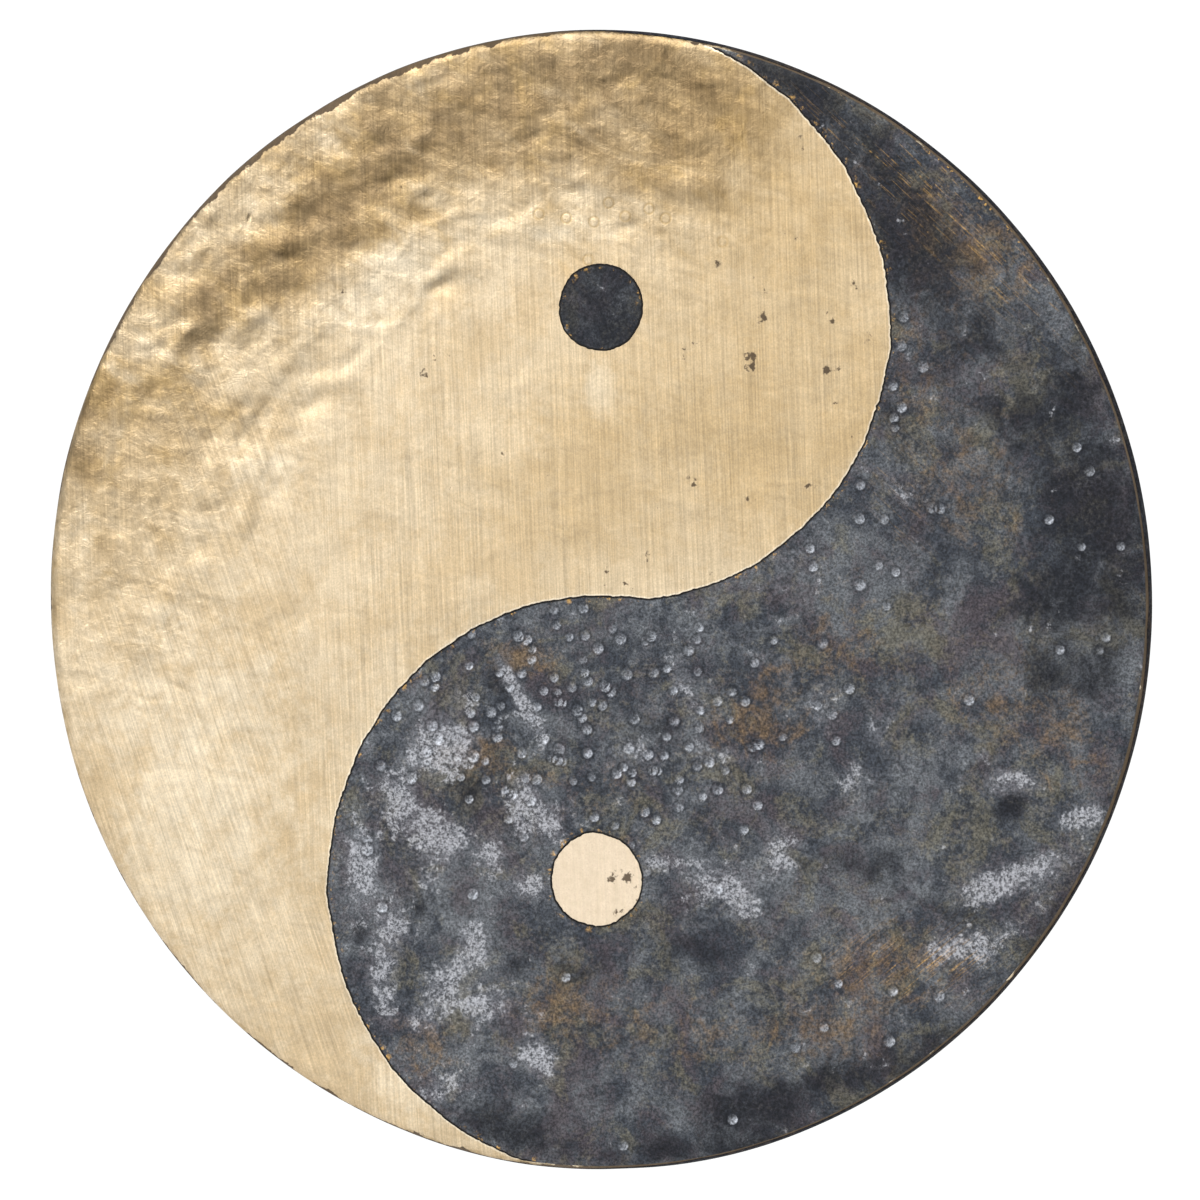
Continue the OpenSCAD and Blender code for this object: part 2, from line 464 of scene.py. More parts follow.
@dataclass(frozen=True)
class HammerWork:
    """Every blow and lump in the metal, shared by the plate and the layers of scale on it."""

    seed: int = 21
    gentle_lumps: int = 330
    creases: int = 330
    reach: float = 320.0
    mark_r: float = 3.15
    mark_depth: float = 0.19
    ring_r: float = 2.7
    ring_depth: float = 0.14

    @cached_property
    def lumps(self) -> tuple[Patch, ...]:
        """Every lump in the plate.

        Returns:
            The large gentle blows of the forming, the few lumps that stand out, and the hard blows.
        """
        chance = random.Random(self.seed)
        made = []
        for _ in range(self.gentle_lumps):
            away, around = self.reach * math.sqrt(chance.random()), chance.uniform(0, 2 * math.pi)
            size = chance.uniform(9, 30)
            made.append(Patch(
                away * math.cos(around), away * math.sin(around), size, size * chance.uniform(0.5, 1),
                chance.uniform(0, 180), chance.choice((-1, 1)) * size * chance.uniform(0.002, 0.008),
            ))
        return (*made, *LUMPS, *self.hard_blows)

    @cached_property
    def hard_blows(self) -> tuple[Patch, ...]:
        """Short dents and ridges along the shoulder, where the plate was driven hardest.

        Returns:
            One patch to each blow.
        """
        chance = random.Random(self.seed + 2)
        made = []
        for _ in range(self.creases):
            turn, away = chance.triangular(66, 186, 118), 292 - 112 * chance.random() ** 1.3
            around = math.radians(turn)
            long = chance.uniform(4.5, 15)
            wide = long * chance.uniform(0.28, 0.6)
            made.append(Patch(
                away * math.cos(around), away * math.sin(around), long, wide,
                turn - 90 + chance.gauss(-8, 20), chance.choice((-1, 1)) * wide * chance.uniform(0.02, 0.07),
            ))
        return tuple(made)

    def painted_blow_light(self, x: np.ndarray, y: np.ndarray) -> np.ndarray:
        """Works out painted light and shade for the blows: lighter on their sides that face the upper left, darker on
        the others.

        Args:
            x: Places across the flat blank.
            y: Places up the flat blank.

        Returns:
            The slope of each place towards the upper left, from about -0.2 where shade is painted to 0.2 where light
            is painted.
        """
        total = np.zeros_like(x)
        for lump in self.lumps:
            c, s = lump.heading
            along, across = lump.shares(x, y)
            steep = 2 * lump.strength * np.exp(-(along**2 + across**2))
            lengthways, sideways = -0.5 * c + 0.85 * s, 0.5 * s + 0.85 * c
            total += steep * (along / lump.long * lengthways + across / lump.wide * sideways)
        return total

    @cached_property
    def marks(self) -> tuple[tuple[float, float, float, float, float], ...]:
        """Peen marks on the dark part.

        Returns:
            The x, y, radius, depth and brightness of each, the last scaling its burnish and its painted highlight.
        """
        chance = random.Random(self.seed + 1)
        made = list(PEEN_MARKS)
        for _ in range(64):
            made.append((chance.gauss(-12, 60), chance.gauss(-72, 40)))
        for _ in range(26):
            around, away = chance.uniform(-2.4, 1.3), chance.uniform(120, 280)
            made.append((away * math.cos(around), away * math.sin(around)))
        return tuple((
            x + chance.uniform(-0.4, 0.4), y + chance.uniform(-0.4, 0.4), self.mark_r * chance.uniform(0.82, 1.1),
            self.mark_depth * chance.uniform(0.5, 1.3), chance.uniform(0.35, 1.0),
        ) for x, y in made)

    def heave(self, x: np.ndarray, y: np.ndarray) -> np.ndarray:
        """Sums the lumps at places, with the slow twist of the whole plate.

        Args:
            x: Places across the flat blank.
            y: Places up the flat blank.

        Returns:
            Heights in millimetres, square to the surface.
        """
        total = 0.25 * np.sin(2 * np.arctan2(y, x) + 0.6) * np.clip((np.hypot(x, y) - 150) / 150, 0, 1)
        for lump in self.lumps:
            along, across = lump.shares(x, y)
            total += lump.strength * np.exp(-(along**2 + across**2))
        return total

    def punched(self, x: np.ndarray, y: np.ndarray) -> np.ndarray:
        """Finds the thin rings that the ring punch left.

        Args:
            x: Places across the flat blank.
            y: Places up the flat blank.

        Returns:
            How deep the rings are at each place, from 0 to 1.
        """
        total = np.zeros_like(x)
        for ring_x, ring_y in PUNCH_RINGS:
            away = np.hypot(x - ring_x, y - ring_y)
            total = np.maximum(total, np.exp(-(((away - self.ring_r) / 0.55) ** 2)))
        return total

    def peened(self, x: np.ndarray, y: np.ndarray) -> tuple[np.ndarray, np.ndarray]:
        """Presses the peen marks.

        Args:
            x: Places across the flat blank.
            y: Places up the flat blank.

        Returns:
            The height of each place in millimetres, and how light each place is painted, from -1 on the painted shade
            ring round each dent to 1 on its burnished floor, whose lower right holds a painted highlight.
        """
        height, burnish_and_light = np.zeros_like(x), np.zeros_like(x)
        for mark_x, mark_y, radius, depth, gloss in self.marks:
            across, up = (x - mark_x) / radius, (y - mark_y) / radius
            share = np.hypot(across, up)
            bowl = np.clip(1 - share**2, 0, 1)
            lip = 0.18 * np.exp(-(((share - 1.12) / 0.16) ** 2))
            height = np.minimum(height, -depth * bowl) + depth * lip * (burnish_and_light == 0)
            # Painted highlight on the lower right of each dent's bowl, and a painted shade ring just outside its rim.
            lit_side = np.clip(0.5 + 0.5 * across - 0.65 * up, 0.1, 1.0)
            here = np.clip((1.0 - share) * 5, 0, 1) * lit_side * gloss - 0.75 * np.exp(-(((share - 1.1) / 0.13) ** 2))
            burnish_and_light = np.where(np.abs(here) > np.abs(burnish_and_light), here, burnish_and_light)
        return height, burnish_and_light


def put(name: str, data: bpy.types.ID) -> bpy.types.Object:
    """Puts a new object into the scene.

    Args:
        name: Its name.
        data: The mesh, light or camera that it shows.

    Returns:
        The object.
    """
    made = bpy.data.objects.new(name, data)
    bpy.context.scene.collection.objects.link(made)
    return made


def solid_from(bm: bmesh.types.BMesh, name: str) -> bpy.types.Object:
    """Puts a finished mesh into the scene and frees it.

    Args:
        bm: The mesh.
        name: The object's name.

    Returns:
        The object.
    """
    mesh = bpy.data.meshes.new(name)
    bm.to_mesh(mesh)
    bm.free()
    return put(name, mesh)


def extruded(bm: bmesh.types.BMesh,
             edges: list[bmesh.types.BMEdge]) -> tuple[list[bmesh.types.BMVert], list[bmesh.types.BMEdge]]:
    """Draws one more ring of faces out of a ring of edges.

    Args:
        bm: The mesh.
        edges: The ring of edges.

    Returns:
        The new ring's corners and edges, still in the old ring's place.
    """
    made = bmesh.ops.extrude_edge_only(bm, edges=edges)["geom"]
    return ([g for g in made if isinstance(g, bmesh.types.BMVert)],
            [g for g in made if isinstance(g, bmesh.types.BMEdge)])


def open_edges(bm: bmesh.types.BMesh) -> list[bmesh.types.BMEdge]:
    """Finds the edges of a mesh that have a face on one side at most."""
    return [e for e in bm.edges if len(e.link_faces) < 2]


def closed_solid(bm: bmesh.types.BMesh, name: str) -> bpy.types.Object:
    """Closes a mesh's ends, turns its faces outwards and puts it into the scene.

    Args:
        bm: The mesh.
        name: The object's name.

    Returns:
        The solid.
    """
    bmesh.ops.holes_fill(bm, edges=open_edges(bm), sides=0)
    bmesh.ops.recalc_face_normals(bm, faces=bm.faces)
    return solid_from(bm, name)


@dataclass
class Sheet:
    """A flat blank on the bench: a closed slab whose places are runs from the crown, and heights are offsets."""

    top: float
    bottom: float
    bm: bmesh.types.BMesh = field(default_factory=bmesh.new)

    def cut_disc(self, cells: int, run: float) -> None:
        """Starts the blank as an even disc.

        Args:
            cells: Number of cells across.
            run: Radius of the disc.
        """
        bmesh.ops.create_grid(self.bm, x_segments=cells, y_segments=cells, size=1.0)
        for vert in self.bm.verts:
            a, b = vert.co.x, vert.co.y
            if abs(a) < 1e-9 and abs(b) < 1e-9:
                continue
            if abs(a) > abs(b):
                reach, around = a, math.pi / 4 * b / a
            else:
                reach, around = b, math.pi / 2 - math.pi / 4 * a / b
            vert.co = Vector((reach * math.cos(around), reach * math.sin(around), 0)) * run

    def cut_ring(self, count: int, run: float) -> None:
        """Starts the blank as one ring of edges.

        Args:
            count: Number of edges round the ring.
            run: Radius of the ring.
        """
        bmesh.ops.create_circle(self.bm, cap_ends=False, segments=count, radius=run)

    def widen(self, runs: list[float]) -> None:
        """Draws the blank's outer edge out, ring by ring.

        Args:
            runs: Radius of each new ring.
        """
        edges = open_edges(self.bm)
        for run in runs:
            verts, edges = extruded(self.bm, edges)
            for vert in verts:
                vert.co *= run / vert.co.length

    def thicken(self) -> None:
        """Gives the blank its thickness and turns its faces outwards."""
        made = bmesh.ops.extrude_face_region(self.bm, geom=list(self.bm.faces))["geom"]
        upper = [g for g in made if isinstance(g, bmesh.types.BMVert)]
        for vert in self.bm.verts:
            vert.co.z = self.bottom
        for vert in upper:
            vert.co.z = self.top
        bmesh.ops.recalc_face_normals(self.bm, faces=list(self.bm.faces))

    def cut_with(self, *cutters: tuple[bpy.types.Object, str]) -> None:
        """Cuts the blank with other solids, which are used up.

        Args:
            *cutters: Each solid, and whether to keep what is in it (INTERSECT) or outside it (DIFFERENCE).
        """
        work = put("blank", bpy.data.meshes.new("blank"))
        self.bm.to_mesh(work.data)
        for cutter, operation in cutters:
            cut = work.modifiers.new(cutter.name, "BOOLEAN")
            cut.operation, cut.object, cut.solver = operation, cutter, "EXACT"
        bpy.context.view_layer.update()
        result = bpy.data.meshes.new_from_object(work.evaluated_get(bpy.context.evaluated_depsgraph_get()))
        self.bm.clear()
        self.bm.from_mesh(result)
        bmesh.ops.remove_doubles(self.bm, verts=self.bm.verts, dist=MERGE)
        bmesh.ops.dissolve_degenerate(self.bm, edges=self.bm.edges, dist=MERGE)
        bmesh.ops.holes_fill(self.bm, edges=[e for e in self.bm.edges if len(e.link_faces) == 1], sides=0)
        for thing in (work, *(cutter for cutter, _ in cutters)):
            mesh = thing.data
            bpy.data.objects.remove(thing)
            bpy.data.meshes.remove(mesh)
        bpy.data.meshes.remove(result)

    def refine(self, spots: list[tuple[float, float, float]], cuts: int) -> None:
        """Divides the upper faces near some spots into finer ones.

        Args:
            spots: The x, y and radius of each spot.
            cuts: Number of cuts through each edge.
        """
        faces = [f for f in self.bm.faces if f.normal.z > 0.5 and len(f.verts) == 4]
        middles = np.array([f.calc_center_median() for f in faces])
        near = np.zeros(len(faces), bool)
        for x, y, radius in spots:
            near |= np.hypot(middles[:, 0] - x, middles[:, 1] - y) < radius
        edges = dict.fromkeys(e for f, close in zip(faces, near) if close for e in f.edges)
        bmesh.ops.subdivide_edges(self.bm, edges=list(edges), cuts=cuts, use_grid_fill=True)


class Recipe:
    """One finish's nodes, put together a step at a time. Sizes are in millimetres."""

    def __init__(self, name: str) -> None:
        """Starts an empty material with its shader.

        Args:
            name: The material's name.
        """
        self.material = bpy.data.materials.new(name)
        self.material.use_nodes = True
        self.tree = self.material.node_tree
        self.tree.nodes.clear()
        self.shader = self.node("ShaderNodeBsdfPrincipled")
        output = self.node("ShaderNodeOutputMaterial")
        self.tree.links.new(self.shader.outputs[0], output.inputs[0])
        self.place = self.node("ShaderNodeTexCoord").outputs["Object"]
        self.colour: object = None

    def node(self, kind: str, **settings: object) -> bpy.types.Node:
        """Adds a node.

        Args:
            kind: Its type.
            **settings: Properties to set on it.

        Returns:
            The node.
        """
        made = self.tree.nodes.new(kind)
        for name, value in settings.items():
            setattr(made, name, value)
        return made

    def feed(self, socket: bpy.types.NodeSocket, value: object) -> None:
        """Links a socket to another, or sets its value.

        Args:
            socket: The socket to feed.
            value: A socket, or a plain value.
        """
        if isinstance(value, bpy.types.NodeSocket):
            self.tree.links.new(value, socket)
        else:
            socket.default_value = value

    def sum(self, operation: str, a: object, b: object = 0.0, clamp: bool = False) -> bpy.types.NodeSocket:
        """Works out one arithmetic step.

        Args:
            operation: The Math node's operation.
            a: First value or socket.
            b: Second value or socket.
            clamp: Whether to keep the result from 0 to 1.

        Returns:
            The result's socket.
        """
        made = self.node("ShaderNodeMath", operation=operation, use_clamp=clamp)
        self.feed(made.inputs[0], a)
        self.feed(made.inputs[1], b)
        return made.outputs[0]

    def times(self, a: object, b: object, clamp: bool = False) -> bpy.types.NodeSocket:
        """Multiplies two values or sockets, and keeps the product from 0 to 1 if it's to be clamped."""
        return self.sum("MULTIPLY", a, b, clamp)

    def give(self, name: str, value: object) -> None:
        """Feeds one of the shader's own sockets."""
        self.feed(self.shader.inputs[name], value)

    def paint(self, share: object, tint: object, strength: object = 1.0, clamp: bool = False) -> None:
        """Lays a colour over the finish so far.

        Args:
            share: Where it lies, from 0 to 1.
            tint: The colour.
            strength: How thickly it lies there.
            clamp: Whether to keep the product of the two from 0 to 1.
        """
        if clamp or strength != 1.0:
            share = self.times(share, strength, clamp)
        self.colour = self.blend(share, self.colour, tint)

    def darken(self, value: bpy.types.NodeSocket) -> None:
        """Multiplies the finish so far by a number, which lightens it where that is over 1."""
        self.colour = self.blend(1.0, self.colour, self.grey(value), "MULTIPLY")

    def layer(self, name: str) -> bpy.types.NodeSocket:
        """Reads a layer that was laid out on the blank."""
        return self.node("ShaderNodeAttribute", attribute_name=name).outputs["Fac"]

    def stretched(self, size: tuple[float, float, float], turn: float = 0.0,
                  shift: float = 0.0) -> bpy.types.NodeSocket:
        """Stretches and turns the pattern's room.

        Args:
            size: Size of one grain across, through and up the hung gong.
            turn: Turn in the face's plane, in degrees.
            shift: How far it is moved down and to the right.

        Returns:
            The stretched places.
        """
        made = self.node("ShaderNodeMapping", vector_type="TEXTURE")
        made.inputs["Location"].default_value = (0.5 * shift * MM, 0, -0.85 * shift * MM)
        made.inputs["Rotation"].default_value = (0, math.radians(turn), 0)
        made.inputs["Scale"].default_value = [v * MM for v in size]
        self.feed(made.inputs["Vector"], self.place)
        return made.outputs[0]

    def clouds(self, size: float, detail: float = 4.0, rough: float = 0.55, bend: float = 0.0,
               room: bpy.types.NodeSocket | None = None) -> bpy.types.NodeSocket:
        """Makes soft noise.

        Args:
            size: Size of its largest clouds.
            detail: How many finer layers it has.
            rough: How strong the finer layers are.
            bend: How far it is distorted.
            room: Stretched places to use instead, in which case size is ignored.

        Returns:
            The noise, about 0.5.
        """
        made = self.node("ShaderNodeTexNoise")
        self.feed(made.inputs["Vector"], room or self.place)
        made.inputs["Scale"].default_value = 1.0 if room else 1 / (size * MM)
        made.inputs["Detail"].default_value = detail
        made.inputs["Roughness"].default_value = rough
        made.inputs["Distortion"].default_value = bend
        return made.outputs["Fac"]

    def embossed_light(self, size: tuple[float, float, float], turn: float, shift: float) -> bpy.types.NodeSocket:
        """Paints the light and shade of relief that isn't in the mesh: brighter on the upper left sides of its lumps,
        darker on the others.

        Args:
            size: Size of one lump across, through and up the hung gong.
            turn: Turn in the face's plane, in degrees.
            shift: How wide the sides are.

        Returns:
            The painted light and shade, about 0.
        """
        here, beside = (self.clouds(0, 3.5, 0.5, 0.5, self.stretched(size, turn, s)) for s in (0.0, shift))
        return self.sum("SUBTRACT", here, beside)

    def dots(self, spacing: float, size: float, share: float) -> bpy.types.NodeSocket:
        """Scatters small round dots.

        Args:
            spacing: Distance from one place for a dot to the next.
            size: Radius of the largest dot.
            share: Share of the places that have one.

        Returns:
            1 in the dots and 0 between them.
        """
        made = self.node("ShaderNodeTexVoronoi")
        self.feed(made.inputs["Vector"], self.place)
        made.inputs["Scale"].default_value = 1 / (spacing * MM)
        apart = self.node("ShaderNodeSeparateColor")
        self.feed(apart.inputs[0], made.outputs["Color"])
        chosen = self.sum("LESS_THAN", apart.outputs[0], share)
        reach = self.times(apart.outputs[1], size / spacing)
        inside = self.sum("SUBTRACT", reach, made.outputs["Distance"])
        return self.times(self.step(inside, 0.0, 0.25 * size / spacing), chosen)

    def step(self, value: object, low: float, high: float) -> bpy.types.NodeSocket:
        """Rises smoothly from 0 at one value to 1 at another.

        Args:
            value: The value or socket that rises.
            low: Where the rise starts.
            high: Where it ends, which may be under low to make it fall.

        Returns:
            The result's socket.
        """
        made = self.node("ShaderNodeMapRange", interpolation_type="SMOOTHSTEP")
        for socket, number in zip(made.inputs[:5], (value, low, high, 0.0, 1.0)):
            self.feed(socket, number)
        return made.outputs[0]

    def ruffled(self, layer: bpy.types.NodeSocket, *noises: tuple[bpy.types.NodeSocket, float],
                low: float = 0.3, high: float = 0.6) -> bpy.types.NodeSocket:
        """Gives a soft layer ragged, mottled edges.

        Args:
            layer: The layer.
            *noises: Each noise with its strength.
            low: Value under which nothing shows.
            high: Value above which all of it shows.

        Returns:
            The ragged layer, from 0 to 1.
        """
        for noise, strength in noises:
            layer = self.sum("ADD", layer, self.times(self.sum("SUBTRACT", noise, 0.5), strength))
        return self.step(layer, low, high)

    def blend(self, share: object, a: object, b: object, way: str = "MIX") -> bpy.types.NodeSocket:
        """Blends one colour into another.

        Args:
            share: How much of the second.
            a: First colour.
            b: Second colour.
            way: The blend's type.

        Returns:
            The blended colour.
        """
        made = self.node("ShaderNodeMix", data_type="RGBA", blend_type=way)
        self.feed(made.inputs[0], share)
        self.feed(made.inputs[6], a)
        self.feed(made.inputs[7], b)
        return made.outputs[2]

    def grey(self, value: bpy.types.NodeSocket) -> bpy.types.NodeSocket:
        """Turns a number into a grey colour.

        Args:
            value: The number.

        Returns:
            The colour.
        """
        made = self.node("ShaderNodeCombineColor")
        for socket in made.inputs:
            self.feed(socket, value)
        return made.outputs[0]

    def span(self, value: bpy.types.NodeSocket, low: float, high: float) -> bpy.types.NodeSocket:
        """Spreads a number out.

        Args:
            value: A number from 0 to 1.
            low: What 0 becomes.
            high: What 1 becomes.

        Returns:
            The number from low to high.
        """
        made = self.node("ShaderNodeMath", operation="MULTIPLY_ADD")
        for socket, number in zip(made.inputs, (value, high - low, low)):
            self.feed(socket, number)
        return made.outputs[0]

    def between(self, share: object, a: object, b: object) -> bpy.types.NodeSocket:
        """Blends one number into another.

        Args:
            share: How much of the second.
            a: First number.
            b: Second number.

        Returns:
            The blended number.
        """
        made = self.node("ShaderNodeMix", data_type="FLOAT")
        for socket, value in zip((made.inputs[0], made.inputs[2], made.inputs[3]), (share, a, b)):
            self.feed(socket, value)
        return made.outputs[0]

    def bump(self, *heights: tuple[bpy.types.NodeSocket, float]) -> None:
        """Adds small relief to the shader.

        Args:
            *heights: Each pattern with its height in millimetres.
        """
        normal = None
        for pattern, height in heights:
            made = self.node("ShaderNodeBump")
            made.inputs["Distance"].default_value = height * MM
            self.feed(made.inputs["Height"], pattern)
            if normal is not None:
                self.feed(made.inputs["Normal"], normal)
            normal = made.outputs[0]
        self.give("Normal", normal)


def tone(red: int, green: int, blue: int) -> Tone:
    """Turns a screen colour from 0 to 255 into the shader's linear colour."""
    return (*(((v / 255 + 0.055) / 1.055) ** 2.4 if v > 10 else v / 255 / 12.92 for v in (red, green, blue)), 1.0)


@dataclass(frozen=True)
class BrushedBronze:
    """Scraped and brushed bronze with a dark band across its shoulder, part tarnishing and part painted dim
    reflection.
    """

    light: Tone = tone(207, 189, 160)
    warm: Tone = tone(195, 173, 139)
    pale: Tone = tone(221, 206, 180)
    olive: Tone = tone(142, 119, 84)
    umber: Tone = tone(84, 67, 46)
    ochre: Tone = tone(163, 134, 84)
    edge_brown: Tone = tone(72, 56, 38)
    edge_tan: Tone = tone(150, 124, 78)
    blush: Tone = tone(204, 178, 148)
    glint: Tone = tone(244, 234, 214)
    pit: Tone = tone(60, 46, 32)

    def material(self) -> bpy.types.Material:
        """Mixes the finish.

        Returns:
            The material, which reads the plate's layers.
        """
        mix = Recipe("brushed_bronze")
        broad, soft = mix.clouds(60, 5, 0.55), mix.clouds(14, 6, 0.6, 0.4)
        fine, speck = mix.clouds(3.2, 4, 0.6), mix.clouds(1.0, 3, 0.65)
        upright = mix.clouds(0, 3, 0.6, room=mix.stretched((0.9, 30, 46), -2.5))
        slanted = mix.clouds(0, 3, 0.6, room=mix.stretched((1.0, 30, 34), -19))
        streak = mix.clouds(0, 6, 0.56, 0.5, room=mix.stretched((34, 30, 14), 24))
        strokes = mix.between(mix.step(mix.layer("slanted"), 0.2, 0.7), upright, slanted)
        eye = mix.ruffled(mix.layer("eye"), (speck, 0.6), low=-0.4, high=0.4)

        mix.colour = mix.blend(mix.ruffled(broad, (soft, 0.8), (fine, 0.5), low=0.25, high=0.75),
                               self.warm, self.light)
        mix.paint(mix.ruffled(mix.layer("pale"), (soft, 0.7), (fine, 0.25), low=0.25, high=0.85), self.pale)
        # Painted shade: an ochre wash over the upper right of the face.
        mix.paint(mix.ruffled(mix.layer("upper_right_shade"), (soft, 0.5), (streak, 0.6), low=0.05, high=0.95), self.ochre, 0.45)
        # The dark band over the shoulder: part tarnishing, part painted dim reflection.
        veil = self.tarnish_and_reflection(mix, streak, fine)

        speckled = mix.blend(mix.ruffled(speck, (fine, 0.8), low=0.5, high=0.64), self.blush, self.ochre)
        mix.paint(eye, mix.blend(0.45, self.blush, speckled))
        # Painted highlight along the bright edge of the border, over the scraped bronze there.
        seam_highlight = mix.times(mix.step(mix.layer("border"), -1.1, -0.4), mix.span(speck, 0.3, 1.2))
        mix.paint(seam_highlight, self.glint, 0.55, clamp=True)
        mix.paint(mix.layer("ring"), self.ochre, 0.5)

        tan = mix.ruffled(mix.layer("past_edge"), (mix.clouds(9, 4, 0.6), 1.4), (fine, 0.6), low=0.5, high=0.9)
        mix.paint(tan, self.edge_tan, 0.6)
        scallop = mix.ruffled(mix.layer("over_edge"), (mix.clouds(17, 4, 0.6), 1.9), (fine, 0.6),
                              low=-0.04, high=0.06)
        mix.paint(scallop, self.edge_brown, 0.92)

        shade = mix.times(mix.span(strokes, 0.54, 1.46), mix.span(speck, 0.66, 1.34))
        shade = mix.times(shade, mix.between(veil, 1.0, mix.span(streak, 0.7, 1.3)))
        # Painted light and shade from the slopes of the blows and of noise wrinkles: lighter where they face the
        # upper left, darker where they face away.
        painted_wrinkle_light = mix.times(mix.embossed_light((30, 30, 19), 20, 2.2), mix.span(mix.layer("driven"), 0.9, 2.5))
        rise = mix.sum("ADD", mix.times(mix.layer("painted_blow_light"), 3.2), painted_wrinkle_light)
        shade = mix.times(shade, mix.sum("MAXIMUM", mix.sum("ADD", rise, 1.0), 0.35))
        in_eye = mix.times(mix.span(speck, 0.85, 1.15), mix.span(strokes, 0.88, 1.12))
        mix.darken(mix.between(eye, shade, in_eye))
        pits = mix.sum("MAXIMUM", mix.dots(17, 0.45, 0.34), mix.dots(6.1, 0.3, 0.16))
        mix.paint(pits, self.pit, 0.5)

        mix.give("Base Color", mix.colour)
        mix.give("Metallic", mix.span(scallop, 1.0, 0.1))
        mix.give("Roughness", mix.sum("ADD", mix.span(strokes, 0.30, 0.46), mix.times(scallop, 0.5)))
        crumple = mix.times(mix.sum("ADD", streak, mix.clouds(7, 5, 0.6, 0.5)), mix.layer("driven"))
        mix.bump((soft, 0.16), (fine, 0.035), (strokes, 0.02), (crumple, 1.2), (pits, -0.08))
        return mix.material

    def tarnish_and_reflection(self, mix: Recipe, streak: bpy.types.NodeSocket, fine: bpy.types.NodeSocket) -> bpy.types.NodeSocket:
        """Lays the brown and olive band over the finish so far: part tarnishing, part painted dim reflection.

        Args:
            mix: The recipe being mixed.
            streak: Noise drawn out along the shoulder.
            fine: Fine noise.

        Returns:
            How much of each place the band veils.
        """
        laid = mix.layer("tarnish_and_reflection")
        veil = mix.ruffled(laid, (streak, 1.2), (mix.clouds(26, 6, 0.55, 0.8), 1.3), (fine, 0.2), low=0.1, high=1.0)
        heavy = mix.ruffled(laid, (streak, 1.4), (mix.clouds(16, 6, 0.58, 0.6), 1.3), (fine, 0.3),
                            low=0.75, high=1.35)
        patchy = mix.ruffled(mix.clouds(30, 4, 0.55, 1.0), (fine, 0.3), low=0.4, high=0.75)
        mix.paint(veil, mix.blend(patchy, self.olive, self.ochre), 0.8)
        mix.paint(heavy, self.umber, 0.55)
        return veil


